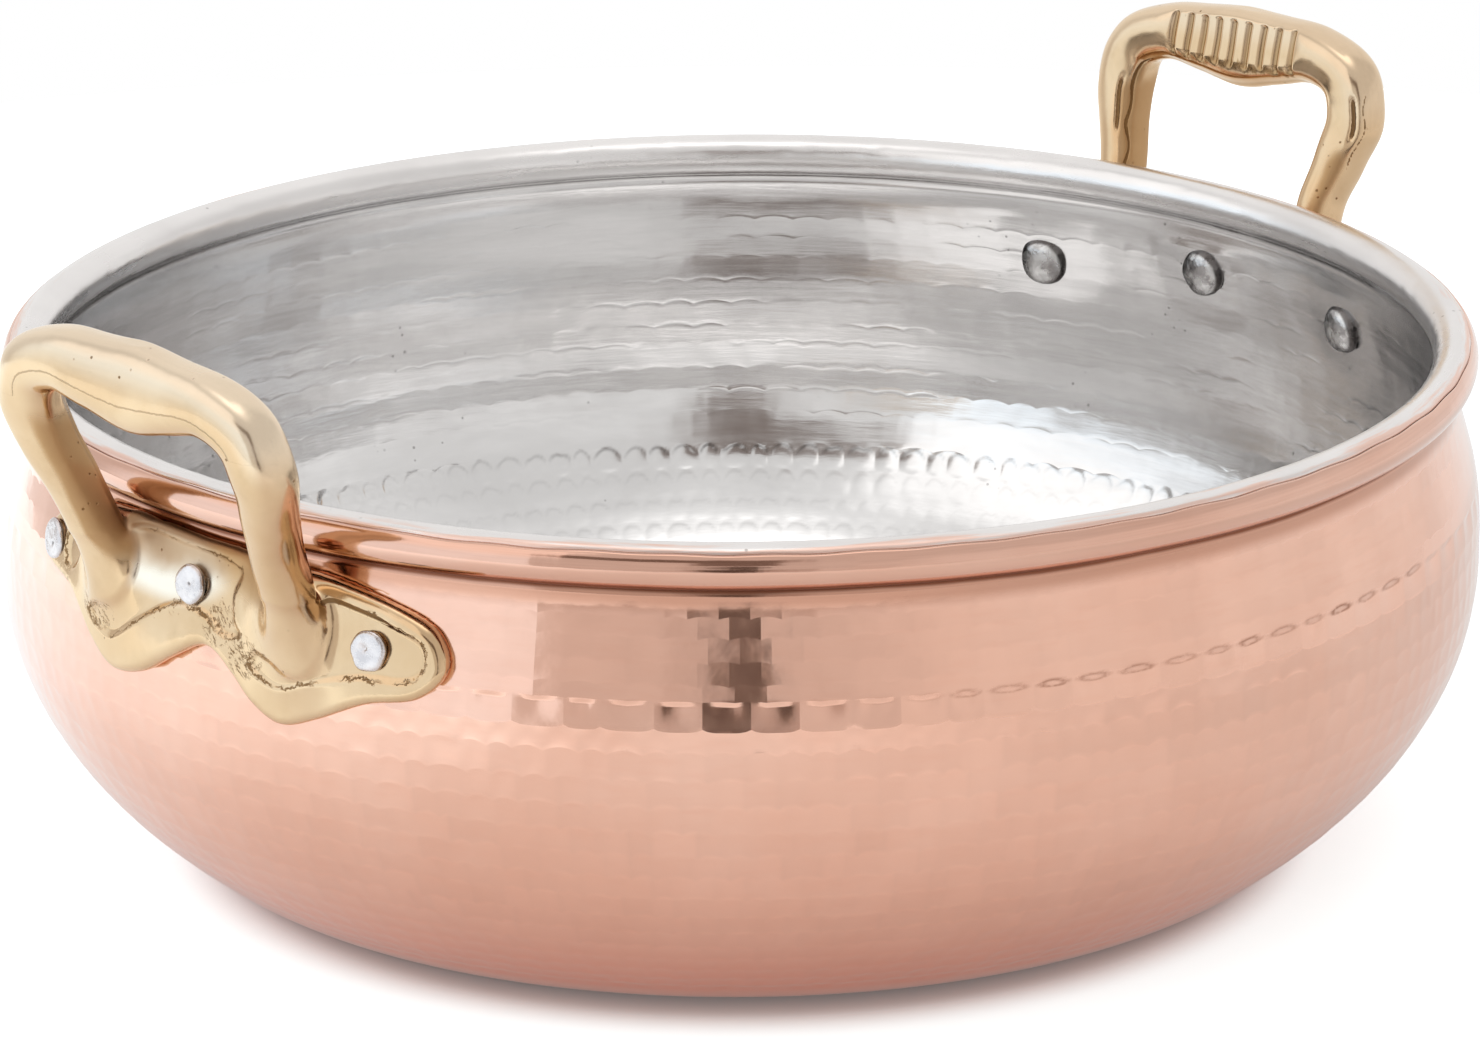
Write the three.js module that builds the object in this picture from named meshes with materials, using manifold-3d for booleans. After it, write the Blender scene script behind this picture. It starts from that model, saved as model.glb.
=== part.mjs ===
// A round copper vegetable dish: a hammered copper bowl with a wired rim and a tin
// lining, carried by two cast brass loop handles that are riveted to the bowl.
// Millimetres, +Z up. The origin is the centre of the flat base, and the handles
// stand at -X and +X. Distances from the Z axis are radii.
import * as THREE from "three";
import Module from "manifold-3d";
import { mergeVertices } from "three/addons/utils/BufferGeometryUtils.js";

// Bowl, outer face
const bellyRadius = 141.2;
const bellyHeight = 54.5;
const baseInset = 34.7; // how much smaller than the belly the flat base is
const neckInset = 4.8; // and the neck under the rim
const shoulderHeight = 31.5; // from the belly up to the neck
const baseRadius = bellyRadius - baseInset;
const neckRadius = bellyRadius - neckInset;
const neckHeight = bellyHeight + shoulderHeight;
const lowerRadiusPower = 1.81; // how square the lower wall bulges outwards
const lowerHeightPower = 0.93; // how soon the lower wall leaves the base
const shoulderPower = 1.57; // how late the wall turns in above the belly
const lowerSteps = 8;
const shoulderSteps = 5;
const bowlSegments = 40;

// Sheet, lining and their gap
const copperThickness = 1.4;
const liningThickness = 0.4;
const liningGap = 0.2;

// Wired rim
const beadRadius = 4.3;
const beadInset = 0.6; // how far the bead's centre stands inside the neck's face
const beadRise = 5.8; // and above the neck
const beadCentreRadius = neckRadius - beadInset;
const beadCentreHeight = neckHeight + beadRise;
const wireRadius = 2.3;
const wireGap = 0.2;
const liningEndAngle = 50; // degrees above level, on the outer shoulder of the bead
const copperShoulderAngle = 45; // degrees, where the bare copper is flush again
const rollEndAngle = -66; // degrees, where the rolled sheet ends under the bead
const beadSteps = 8;
const hollowSteps = 8;
const wireSteps = 8;

// Handle plate. Its outline is given in shares of its half width and of its height,
// seen from outside, from the middle of its lower edge round by the right.
const seatGap = 0.3;
const plateEdgeThickness = 2.1;
const plateThickness = 3.4;
const plateEdgeWidth = 1.5;
const plateHalfWidth = 54.8;
const plateHeight = 29.3;
const plateDrop = 0.1; // from the neck down to the plate's upper edge
const plateFootHeight = neckHeight - plateDrop - plateHeight;
const plateTurnRise = 19.4; // from the plate's foot up to where its tilt turns
const plateTiltHeight = plateFootHeight + plateTurnRise;
const plateTilt = 1.9; // degrees, left side higher as seen from outside
const plateStand = 0.8; // how far the plate's face stands out from the belly
const plateRadius = bellyRadius + plateStand; // on which "across" is measured
const plateOutlineShares = [
  { across: 0.106, rise: 0.386 },
  { across: 0.219, rise: 0.273 },
  { across: 0.319, rise: 0.113 },
  { across: 0.429, rise: 0.031 },
  { across: 0.566, rise: 0.119 },
  { across: 0.748, rise: 0.287 },
  { across: 0.922, rise: 0.382 },
  { across: 1, rise: 0.56 },
  { across: 0.958, rise: 0.765 },
  { across: 0.785, rise: 0.901 },
  { across: 0.547, rise: 0.976 },
  { across: 0.219, rise: 1 },
  { across: -0.219, rise: 1 },
  { across: -0.547, rise: 0.976 },
  { across: -0.785, rise: 0.901 },
  { across: -0.958, rise: 0.765 },
  { across: -1, rise: 0.56 },
  { across: -0.894, rise: 0.41 },
  { across: -0.62, rise: 0.341 },
  { across: -0.493, rise: 0.13 },
  { across: -0.365, rise: 0 },
  { across: -0.219, rise: 0.055 },
  { across: -0.064, rise: 0.232 },
];
const outlineSteps = 2; // spline steps between two outline points
const wedgeDepth = 20.2; // the plate's blank reaches this far in from the belly
const wedgeStand = 8.8; // and this far out, measured along +X
const wedgeInner = bellyRadius - wedgeDepth;
const wedgeOuter = bellyRadius + wedgeStand;
const fieldDepth = 0.8; // how far the fields round the rivets are sunk
const sideFieldShares = { across: 0.757, rise: 0.608 }; // its middle, on the plate
const sideFieldHalfWidth = 9.4;
const sideFieldHalfHeight = 4.9;
const sideFieldLean = -9; // degrees
const middleFieldShares = { across: 0.036, rise: 0.683 };
const middleFieldHalfWidth = 11.5;
const middleFieldHalfHeight = 5.6;
const fieldSteps = 14;

// Handle loop, one half: each station is a place on the bar's centre line, from the
// foot to the crown. "across" is a share of the loop's half width, "rise" of its
// height, "lean" of its lean outwards, "width" and "depth" of the crown's own.
const legOffset = 2.6; // how far the loop stands to the right of the plate's middle
const loopHalfWidth = 30.4;
const loopFootRise = 4.4; // from the plate's foot up to the loop's foot
const loopHeight = 58;
const loopLean = 15.4; // how far the crown's centre line stands out from the belly
const crownHalfWidth = 8.4;
const crownHalfDepth = 5.9;
const loopStationShares = [
  { across: 0.737, rise: 0, lean: 0.013, width: 0.595, depth: 0.407 },
  { across: 0.757, rise: 0.138, lean: 0.039, width: 0.81, depth: 0.61 },
  { across: 0.789, rise: 0.276, lean: 0.052, width: 0.75, depth: 0.78 },
  { across: 0.836, rise: 0.414, lean: 0.208, width: 0.56, depth: 0.814 },
  { across: 0.875, rise: 0.552, lean: 0.429, width: 0.536, depth: 0.847 },
  { across: 0.947, rise: 0.69, lean: 0.662, width: 0.607, depth: 0.881 },
  { across: 1, rise: 0.824, lean: 0.844, width: 0.714, depth: 0.915 },
  { across: 0.921, rise: 0.952, lean: 0.942, width: 0.69, depth: 0.949 },
  { across: 0.641, rise: 1.014, lean: 0.987, width: 0.702, depth: 0.966 },
  { across: 0.312, rise: 1.01, lean: 1, width: 0.857, depth: 0.983 },
];
const crownShares = { across: 0, rise: 1, lean: 1, width: 1, depth: 1 };
const rightLoopSkew = 3.2; // the right handle's loop leans this far to its right
const skewReach = 20; // rise over which a skew grows to its full value
const loopSteps = 26;
const loopSides = 10;
const sectionPower = 2.5; // 2 is an ellipse, more is squarer

// Ridges across the grip, on the side that faces the bowl
const ridgeCount = 8;
const ridgePitch = 3.9;
const ridgeRadius = 1.5;
const ridgeLength = 8.8;
const ridgeRise = 0.6; // how far a ridge stands out of the bar
const ridgeLift = 1.9; // how far the row of ridges stands above the crown's centre line
const ridgeSides = 8;

// Rivets: places in shares of the plate's half width and height, and sizes
const rivetPlaceShares = [
  { name: "left", across: -0.766, rise: 0.58 },
  { name: "middle", across: 0, rise: 0.71 },
  { name: "right", across: 0.73, rise: 0.608 },
];
const rivetLift = 8; // degrees that a rivet's outer end points up
const shankRadius = 2.6;
const shankGap = 0.3;
const headGap = 0.4;
const innerHeadRadius = 5.1;
const innerHeadHeight = 2.9;
const innerHeadEdge = 0.9;
const outerHeadRadius = 3.7;
const outerHeadHeight = 1.3;
const outerHeadEdge = 0.6;
const outerHeadFlatShare = 0.72; // part of the outer head's radius that is flat
const domeSteps = 3;
const rivetSegments = 12;
const cutterReach = 30; // how far cutting bodies run past what they cut

// The two handles: where each stands, and how far its loop leans to its right
const handles = [
  { name: "left", turn: Math.PI, skew: 0 },
  { name: "right", turn: 0, skew: rightLoopSkew },
];

const colours = { copper: 0xe9b9a4, tin: 0xc9c8c6, iron: 0x6f6a66, brass: 0xd9bd86, rivet: 0xd8d6d6 };

const wasm = await Module();
wasm.setup();

const radians = THREE.MathUtils.degToRad;

// Solids and meshes

function solidFrom(geometry) {
  const bare = new THREE.BufferGeometry();
  bare.setAttribute("position", geometry.getAttribute("position"));
  if (geometry.index) bare.setIndex(geometry.index);
  const merged = mergeVertices(bare, 1e-4);
  const vertProperties = new Float32Array(merged.getAttribute("position").array);
  const triVerts = new Uint32Array(merged.index.array);
  return new wasm.Manifold(new wasm.Mesh({ numProp: 3, vertProperties, triVerts }));
}

function geometryFrom(solid) {
  const mesh = solid.getMesh();
  const positions = new Float32Array(mesh.numVert * 3);
  for (let i = 0; i < mesh.numVert; i += 1) {
    const start = i * mesh.numProp;
    positions.set(mesh.vertProperties.subarray(start, start + 3), i * 3);
  }
  const geometry = new THREE.BufferGeometry();
  geometry.setAttribute("position", new THREE.BufferAttribute(positions, 3));
  geometry.setIndex(new THREE.BufferAttribute(new Uint32Array(mesh.triVerts), 1));
  geometry.computeVertexNormals();
  return geometry;
}

function namedMesh(name, geometry, color, roughness, metalness) {
  const material = new THREE.MeshStandardMaterial({ color, roughness, metalness });
  const mesh = new THREE.Mesh(geometry, material);
  mesh.name = name;
  return mesh;
}

// Profiles: points of radius and height, from the axis outwards and up the wall

function revolved(profile, segments) {
  return new THREE.LatheGeometry(profile, segments).rotateX(Math.PI / 2);
}

function wallRadiusAt(height) {
  const rise = THREE.MathUtils.clamp((height - bellyHeight) / (neckHeight - bellyHeight), 0, 1);
  const drop = (1 - Math.cos(Math.PI * rise ** shoulderPower)) / 2;
  return bellyRadius - (bellyRadius - neckRadius) * drop;
}

function outerWall() {
  const points = [new THREE.Vector2(0, 0)];
  for (let i = 0; i <= lowerSteps; i += 1) {
    const angle = (1 - i / lowerSteps) * Math.PI / 2;
    const reach = Math.max(0, Math.cos(angle)) ** lowerRadiusPower;
    const radius = baseRadius + (bellyRadius - baseRadius) * reach;
    const height = bellyHeight * (1 - Math.sin(angle) ** lowerHeightPower);
    points.push(new THREE.Vector2(radius, height));
  }
  for (let i = 1; i <= shoulderSteps; i += 1) {
    const height = bellyHeight + (neckHeight - bellyHeight) * i / shoulderSteps;
    points.push(new THREE.Vector2(wallRadiusAt(height), height));
  }
  return points;
}

// Moves each point of a line to its left by one distance, keeping the sides parallel.
function shifted(points, distance, closed = false) {
  const count = points.length;
  return points.map((point, i) => {
    const before = points[closed ? (i + count - 1) % count : Math.max(i - 1, 0)];
    const after = points[closed ? (i + 1) % count : Math.min(i + 1, count - 1)];
    const into = (before === point ? after.clone().sub(point) : point.clone().sub(before)).normalize();
    const onto = (after === point ? into.clone() : after.clone().sub(point)).normalize();
    const left = new THREE.Vector2(-into.y - onto.y, into.x + onto.x);
    left.multiplyScalar(distance / (1 + into.dot(onto)));
    return point.clone().add(left);
  });
}

function beadPoint(radius, angle) {
  const across = beadCentreRadius + radius * Math.cos(angle);
  return new THREE.Vector2(across, beadCentreHeight + radius * Math.sin(angle));
}

function beadArc(radius, from, to, steps) {
  const points = [];
  for (let i = 0; i <= steps; i += 1) {
    points.push(beadPoint(radius, from + (to - from) * i / steps));
  }
  return points;
}

// The angle on a bead circle, under its centre, where a wall face of one radius meets it.
function creaseAngle(radius, wallRadius) {
  return -Math.acos((wallRadius - beadCentreRadius) / radius);
}

// Copper bowl: the sheet runs up the wall and rolls outwards over the wire.
function copperProfile() {
  const coverDepth = liningThickness + liningGap;
  const hollowRadius = wireRadius + wireGap;
  const turn = 2 * Math.PI;
  const rollEnd = radians(rollEndAngle) - turn;
  const bareEnd = radians(copperShoulderAngle) - turn;
  const coveredRadius = beadRadius - coverDepth;
  const innerCrease = creaseAngle(coveredRadius, neckRadius - copperThickness);
  return [
    ...outerWall(),
    ...beadArc(hollowRadius, creaseAngle(hollowRadius, neckRadius), rollEnd, hollowSteps),
    ...beadArc(beadRadius, rollEnd, bareEnd, beadSteps / 2),
    ...beadArc(coveredRadius, bareEnd, innerCrease, beadSteps),
    ...shifted(outerWall(), copperThickness).reverse(),
  ];
}

// Tin lining: a thin skin over the inside and over the top of the bead.
function liningProfile() {
  const backInset = copperThickness + liningGap;
  const faceInset = backInset + liningThickness;
  const end = radians(liningEndAngle) - 2 * Math.PI;
  const backRadius = beadRadius - liningThickness;
  const backCrease = creaseAngle(backRadius, neckRadius - backInset);
  const faceCrease = creaseAngle(beadRadius, neckRadius - faceInset);
  return [
    ...shifted(outerWall(), backInset),
    ...beadArc(backRadius, backCrease, end, beadSteps),
    ...beadArc(beadRadius, end, faceCrease, beadSteps),
    ...shifted(outerWall(), faceInset).reverse(),
  ];
}

function wireProfile() {
  const points = beadArc(wireRadius, 0, 2 * Math.PI, wireSteps);
  points[wireSteps] = points[0].clone();
  return points;
}

// The bowl's whole outer form grown by one distance, as a plug that cuts what sits on it.
function grownBowl(distance) {
  const wall = shifted(outerWall(), -distance);
  const start = creaseAngle(beadRadius + distance, neckRadius + distance);
  const bead = beadArc(beadRadius + distance, start, Math.PI / 2, beadSteps);
  const top = new THREE.Vector2(0, beadCentreHeight + beadRadius + distance);
  wall[0].x = 0;
  return solidFrom(revolved([...wall, ...bead, top], bowlSegments));
}

// The bowl's wall grown by one distance, without the bead.
function grownWall(distance) {
  const wall = shifted(outerWall(), -distance);
  const top = wall[wall.length - 1].clone();
  top.y += cutterReach;
  wall[0].x = 0;
  return solidFrom(revolved([...wall, top, new THREE.Vector2(0, top.y)], bowlSegments));
}

// Places on the plate, in the frame of a handle that stands at +X

// Turns a place, across from the plate's middle and up from its foot, by the plate's tilt.
function tilted(across, rise) {
  const angle = radians(plateTilt);
  const up = rise - plateTurnRise;
  const y = across * Math.cos(angle) + up * Math.sin(angle);
  const z = plateTiltHeight + up * Math.cos(angle) - across * Math.sin(angle);
  return { y, z };
}

function onPlate(shares) {
  return tilted(shares.across * plateHalfWidth, shares.rise * plateHeight);
}

// A rivet's seat: the point on the bowl's outer face and the outward direction there.
function rivetSeat(placeShares) {
  const { y, z } = onPlate(placeShares);
  const radius = wallRadiusAt(z);
  const bearing = Math.asin(y / radius);
  const lift = radians(rivetLift);
  const point = new THREE.Vector3(radius * Math.cos(bearing), y, z);
  const axis = new THREE.Vector3(
    Math.cos(lift) * Math.cos(bearing),
    Math.cos(lift) * Math.sin(bearing),
    Math.sin(lift),
  );
  const turn = new THREE.Quaternion().setFromUnitVectors(new THREE.Vector3(0, 1, 0), axis);
  return { point, turn };
}

function rivetHole(placeShares) {
  const { point, turn } = rivetSeat(placeShares);
  const radius = shankRadius + shankGap;
  const hole = new THREE.CylinderGeometry(radius, radius, cutterReach, rivetSegments);
  hole.applyQuaternion(turn).translate(point.x, point.y, point.z);
  return solidFrom(hole);
}

// Handle plate

function plateShape(inset) {
  const corners = plateOutlineShares.map((shares) => {
    const { y, z } = onPlate(shares);
    return new THREE.Vector3(y, z, 0);
  });
  const curve = new THREE.CatmullRomCurve3(corners, true, "centripetal");
  const points = [];
  const steps = corners.length * outlineSteps;
  for (let i = 0; i < steps; i += 1) {
    const { x, y } = curve.getPoint(i / steps);
    points.push(new THREE.Vector2(x, y));
  }
  return new THREE.Shape(shifted(points, inset, true));
}

// An outline of across and height, as a wedge through the wall with its sides radial.
function outlineWedge(shape) {
  const depth = wedgeOuter - wedgeInner;
  const bar = new THREE.ExtrudeGeometry(shape, { depth, bevelEnabled: false, steps: 1 });
  const places = bar.getAttribute("position");
  for (let i = 0; i < places.count; i += 1) {
    const out = places.getZ(i) + wedgeInner;
    const bearing = Math.asin(places.getX(i) / plateRadius);
    places.setXYZ(i, out, out * Math.tan(bearing), places.getY(i));
  }
  return solidFrom(bar);
}

// The sunk fields of the plate are ellipses in its outline.
function fieldShape(middleShares, halfWidth, halfHeight, lean) {
  const points = [];
  for (let i = 0; i < fieldSteps; i += 1) {
    const angle = 2 * Math.PI * i / fieldSteps;
    const along = halfWidth * Math.cos(angle);
    const up = halfHeight * Math.sin(angle);
    const across = along * Math.cos(lean) - up * Math.sin(lean);
    const rise = along * Math.sin(lean) + up * Math.cos(lean);
    const { y, z } = tilted(
      middleShares.across * plateHalfWidth + across,
      middleShares.rise * plateHeight + rise,
    );
    points.push(new THREE.Vector2(y, z));
  }
  return new THREE.Shape(points);
}

function sideFieldShape(side) {
  const middleShares = { across: sideFieldShares.across * side, rise: sideFieldShares.rise };
  const lean = radians(sideFieldLean) * side;
  return fieldShape(middleShares, sideFieldHalfWidth, sideFieldHalfHeight, lean);
}

function plateSolid() {
  const edge = outlineWedge(plateShape(0)).intersect(grownWall(seatGap + plateEdgeThickness));
  const face = outlineWedge(plateShape(plateEdgeWidth)).intersect(grownWall(seatGap + plateThickness));
  return edge.add(face);
}

function sunkFields() {
  const floor = grownWall(seatGap + plateThickness - fieldDepth);
  const bars = [
    outlineWedge(sideFieldShape(1)),
    outlineWedge(sideFieldShape(-1)),
    outlineWedge(fieldShape(middleFieldShares, middleFieldHalfWidth, middleFieldHalfHeight, 0)),
  ];
  return wasm.Manifold.union(bars).subtract(floor);
}

// Handle loop

// A station's place and half sizes, on the side of the crown that "side" gives.
function stationFrom(shares, side) {
  return {
    across: side * shares.across * loopHalfWidth,
    rise: loopFootRise + shares.rise * loopHeight,
    out: bellyRadius + shares.lean * loopLean,
    halfWidth: shares.width * crownHalfWidth,
    halfDepth: shares.depth * crownHalfDepth,
  };
}

// Both halves of the loop's centre line, as one row of stations from left to right.
function wholeLoop() {
  const left = loopStationShares.map((shares) => stationFrom(shares, -1));
  const right = loopStationShares.map((shares) => stationFrom(shares, 1));
  return [...left, stationFrom(crownShares, 1), ...right.reverse()];
}

function loopPlace({ across, rise, out }, skew) {
  const { y, z } = tilted(across + legOffset, rise);
  const growth = THREE.MathUtils.clamp((rise - plateTurnRise) / skewReach, 0, 1);
  return new THREE.Vector3(out, y + skew * growth, z);
}

// Joins rings of equally many points into one closed skin with a flat end on each side.
function loft(rings) {
  const sides = rings[0].length;
  const positions = rings.flat().flatMap((point) => [point.x, point.y, point.z]);
  const faces = [];
  for (let ring = 0; ring + 1 < rings.length; ring += 1) {
    for (let side = 0; side < sides; side += 1) {
      const next = (side + 1) % sides;
      const [a, b] = [ring * sides + side, ring * sides + next];
      const [c, d] = [a + sides, b + sides];
      faces.push(a, d, b, a, c, d);
    }
  }
  const last = (rings.length - 1) * sides;
  for (let side = 1; side + 1 < sides; side += 1) {
    faces.push(0, side, side + 1, last, last + side + 1, last + side);
  }
  const geometry = new THREE.BufferGeometry();
  geometry.setAttribute("position", new THREE.Float32BufferAttribute(positions, 3));
  geometry.setIndex(faces);
  return geometry;
}

// One section of the bar: a rounded box, wide in the loop's plane and deep across it.
function barSection(centre, tangent, halfWidth, halfDepth) {
  const lean = new THREE.Vector3(1, 0, 0);
  const depthWay = lean.addScaledVector(tangent, -lean.dot(tangent)).normalize();
  const widthWay = new THREE.Vector3().crossVectors(tangent, depthWay);
  const ring = [];
  for (let i = 0; i < loopSides; i += 1) {
    const angle = 2 * Math.PI * (i + 0.5) / loopSides;
    const [c, s] = [Math.cos(angle), Math.sin(angle)];
    const along = Math.sign(c) * Math.abs(c) ** (2 / sectionPower) * halfWidth;
    const out = Math.sign(s) * Math.abs(s) ** (2 / sectionPower) * halfDepth;
    ring.push(centre.clone().addScaledVector(widthWay, along).addScaledVector(depthWay, out));
  }
  return ring;
}

function loopSolid(skew) {
  const stations = wholeLoop();
  const centreLine = new THREE.CatmullRomCurve3(stations.map((s) => loopPlace(s, skew)));
  const sizes = new THREE.CatmullRomCurve3(
    stations.map((s) => new THREE.Vector3(s.halfWidth, s.halfDepth, 0)),
  );
  const rings = [];
  for (let i = 0; i <= loopSteps; i += 1) {
    const share = i / loopSteps;
    const size = sizes.getPoint(share);
    rings.push(barSection(centreLine.getPoint(share), centreLine.getTangent(share), size.x, size.y));
  }
  return solidFrom(loft(rings));
}

// Ridges: round bars across the grip, sunk into its bowl side.
function ridgeSolids(skew) {
  const out = bellyRadius + loopLean - crownHalfDepth;
  const rise = loopFootRise + loopHeight + ridgeLift;
  const solids = [];
  for (let i = 0; i < ridgeCount; i += 1) {
    const across = (i - (ridgeCount - 1) / 2) * ridgePitch;
    const place = loopPlace({ across, rise, out }, skew);
    const bar = new THREE.CylinderGeometry(ridgeRadius, ridgeRadius, ridgeLength, ridgeSides);
    bar.rotateX(Math.PI / 2).rotateX(-radians(plateTilt));
    bar.translate(place.x + ridgeRadius - ridgeRise, place.y, place.z);
    solids.push(solidFrom(bar));
  }
  return solids;
}

function handleSolid(skew) {
  const casting = wasm.Manifold.union([plateSolid(), loopSolid(skew), ...ridgeSolids(skew)]);
  const holes = rivetPlaceShares.map(rivetHole);
  return casting.subtract(wasm.Manifold.union([sunkFields(), grownBowl(seatGap), ...holes]));
}

// Rivet. Its own +Y runs outwards along the shank, from the bowl's outer face.

const innerFace = -(copperThickness + liningGap + liningThickness);
const fieldFace = seatGap + plateThickness - fieldDepth;

// Brings a solid from the handle's frame into a rivet's own frame.
function asSeenFrom(seat, solid) {
  const frame = new THREE.Matrix4().compose(seat.point, seat.turn, new THREE.Vector3(1, 1, 1));
  return solid.transform(frame.invert().elements);
}

// The room inside the lining, less the head's gap.
function roomInside() {
  const wall = shifted(outerWall(), seatGap - innerFace);
  wall[0].x = 0;
  return solidFrom(revolved([...wall, new THREE.Vector2(0, neckHeight)], bowlSegments));
}

// The domed head inside the dish, cut to lie on the lining's curve.
function innerHead(seat) {
  const domeTop = innerFace - headGap - innerHeadHeight;
  const edge = innerFace - headGap - innerHeadEdge;
  const dome = new THREE.QuadraticBezierCurve(
    new THREE.Vector2(0, domeTop),
    new THREE.Vector2(innerHeadRadius, domeTop),
    new THREE.Vector2(innerHeadRadius, edge),
  );
  const back = [new THREE.Vector2(innerHeadRadius, 0), new THREE.Vector2(0, 0)];
  const head = new THREE.LatheGeometry([...dome.getPoints(domeSteps), ...back], rivetSegments);
  return solidFrom(head).intersect(asSeenFrom(seat, roomInside()));
}

// The flat head that is beaten down on the plate, cut to lie on the sunk field.
function outerHead(seat) {
  const top = fieldFace + headGap + outerHeadHeight;
  const profile = [
    new THREE.Vector2(0, 0),
    new THREE.Vector2(outerHeadRadius, 0),
    new THREE.Vector2(outerHeadRadius, top - outerHeadHeight + outerHeadEdge),
    new THREE.Vector2(outerHeadRadius * outerHeadFlatShare, top),
    new THREE.Vector2(0, top),
  ];
  const head = solidFrom(new THREE.LatheGeometry(profile, rivetSegments));
  return head.subtract(asSeenFrom(seat, grownWall(fieldFace + seatGap)));
}

function shank() {
  const inner = innerFace - headGap - innerHeadEdge;
  const outer = fieldFace + headGap + outerHeadEdge;
  const profile = [
    new THREE.Vector2(0, inner),
    new THREE.Vector2(shankRadius, inner),
    new THREE.Vector2(shankRadius, outer),
    new THREE.Vector2(0, outer),
  ];
  return solidFrom(new THREE.LatheGeometry(profile, rivetSegments));
}

function rivetGeometry(seat) {
  return geometryFrom(shank().add(innerHead(seat)).add(outerHead(seat)));
}

// Bowl pieces

function allRivetHoles() {
  const holes = handles.flatMap(({ turn }) =>
    rivetPlaceShares.map((shares) =>
      rivetHole(shares).rotate([0, 0, THREE.MathUtils.radToDeg(turn)]),
    ),
  );
  return wasm.Manifold.union(holes);
}

function bowlGroup() {
  const holes = allRivetHoles();
  const bowl = solidFrom(revolved(copperProfile(), bowlSegments)).subtract(holes);
  const lining = solidFrom(revolved(liningProfile(), bowlSegments)).subtract(holes);
  const wire = revolved(wireProfile(), bowlSegments);
  const group = new THREE.Group();
  group.add(namedMesh("copper_bowl", geometryFrom(bowl), colours.copper, 0.28, 1));
  group.add(namedMesh("tin_lining", geometryFrom(lining), colours.tin, 0.4, 0.9));
  group.add(namedMesh("rim_wire", wire, colours.iron, 0.6, 1));
  return group;
}

function handleGroup({ name, turn, skew }) {
  const group = new THREE.Group();
  group.rotation.z = turn;
  const casting = geometryFrom(handleSolid(skew));
  group.add(namedMesh(`handle_${name}`, casting, colours.brass, 0.35, 1));
  for (const shares of rivetPlaceShares) {
    const seat = rivetSeat(shares);
    const rivet = namedMesh(`rivet_${name}_${shares.name}`, rivetGeometry(seat), colours.rivet, 0.35, 1);
    rivet.position.copy(seat.point);
    rivet.quaternion.copy(seat.turn);
    group.add(rivet);
  }
  return group;
}

const dish = new THREE.Group();
dish.add(bowlGroup());
for (const handle of handles) dish.add(handleGroup(handle));

export default dish;
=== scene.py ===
import math

import bmesh
import bpy
import numpy as np
from mathutils import Matrix, Vector
from mathutils.geometry import delaunay_2d_cdt


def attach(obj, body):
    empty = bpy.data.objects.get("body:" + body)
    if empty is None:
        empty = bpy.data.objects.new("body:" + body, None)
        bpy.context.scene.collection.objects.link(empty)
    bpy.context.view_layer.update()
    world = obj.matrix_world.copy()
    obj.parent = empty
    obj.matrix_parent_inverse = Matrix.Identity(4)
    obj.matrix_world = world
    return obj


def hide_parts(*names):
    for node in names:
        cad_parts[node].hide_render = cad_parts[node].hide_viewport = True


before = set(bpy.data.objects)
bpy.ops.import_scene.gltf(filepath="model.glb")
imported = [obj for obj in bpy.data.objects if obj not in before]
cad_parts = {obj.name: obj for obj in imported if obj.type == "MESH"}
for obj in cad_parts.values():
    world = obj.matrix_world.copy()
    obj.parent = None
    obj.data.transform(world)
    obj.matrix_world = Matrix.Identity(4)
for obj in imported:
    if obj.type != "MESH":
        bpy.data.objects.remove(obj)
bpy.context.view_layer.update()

MM = 0.001

# Sizes in millimetres, as in the part's source
BELLY_R, BELLY_H = 141.2, 54.5
BASE_R, NECK_R, NECK_H = 106.5, 136.4, 86.0
BEAD_CR, BEAD_CH, BEAD_R = 135.8, 91.8, 4.3
COPPER_T, TIN_GAP, TIN_T = 1.4, 0.2, 0.4
TIN_SEAT = COPPER_T + TIN_GAP
SEAT_GAP, PLATE_T = 0.3, 3.4
PLATE_R, PLATE_FOOT, TURN_RISE = 142.0, 56.6, 19.4
TILT = math.radians(1.9)
PLATE_HALF, PLATE_H = 54.8, 29.3

# The camera's bearing, and the column of the copper's marks that faces the camera
FRONT_BEARING = -136.05
COPPER_COLUMNS, TIN_COLUMNS = 936, 1404
FRONT = int(COPPER_COLUMNS * (360 + FRONT_BEARING) / 360)


# Curves

def smoothstep(a, b, x):
    t = np.clip((x - a) / (b - a), 0, 1)
    return t * t * (3 - 2 * t)


def bell(x, centre, half):
    """A bell curve that is 1 at its centre."""
    return np.exp(-((x - centre) / half) ** 2)


def waves(theta, s, seed, low, high, count):
    """Smooth unevenness that closes round the bowl, about one in height."""
    r = np.random.default_rng(seed)
    total = np.zeros(np.broadcast(theta, s).shape)
    for _ in range(count):
        n = r.integers(low, high)
        m = r.normal(0, high / 260.0)
        total += np.cos(n * theta + m * s + r.uniform(0, 6.28)) * r.uniform(0.5, 1)
    return total / math.sqrt(count)


def spline(points, steps, closed=True):
    """Centripetal Catmull-Rom through the points."""
    pts = np.asarray(points, float)
    before, after = (pts[-1], pts[:2]) if closed else (2 * pts[0] - pts[1], 2 * pts[-1] - pts[-2])
    padded = np.vstack([before, pts, after])
    out = []
    for four in zip(padded, padded[1:], padded[2:], padded[3:]):
        knots = [0.0]
        for p, q in zip(four, four[1:]):
            knots.append(knots[-1] + max(1e-6, np.linalg.norm((q - p)[:3]) ** 0.5))
        for t in np.linspace(knots[1], knots[2], steps, endpoint=False):
            mixed = four
            for first, reach in ((0, 1), (0, 2), (1, 1)):
                ends = zip(mixed, mixed[1:], knots[first:], knots[first + reach:])
                mixed = [((b - t) * p + (t - a) * q) / (b - a) for p, q, a, b in ends]
            out.append(mixed[0])
    return np.array(out if closed else out + [pts[-1]])


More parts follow.
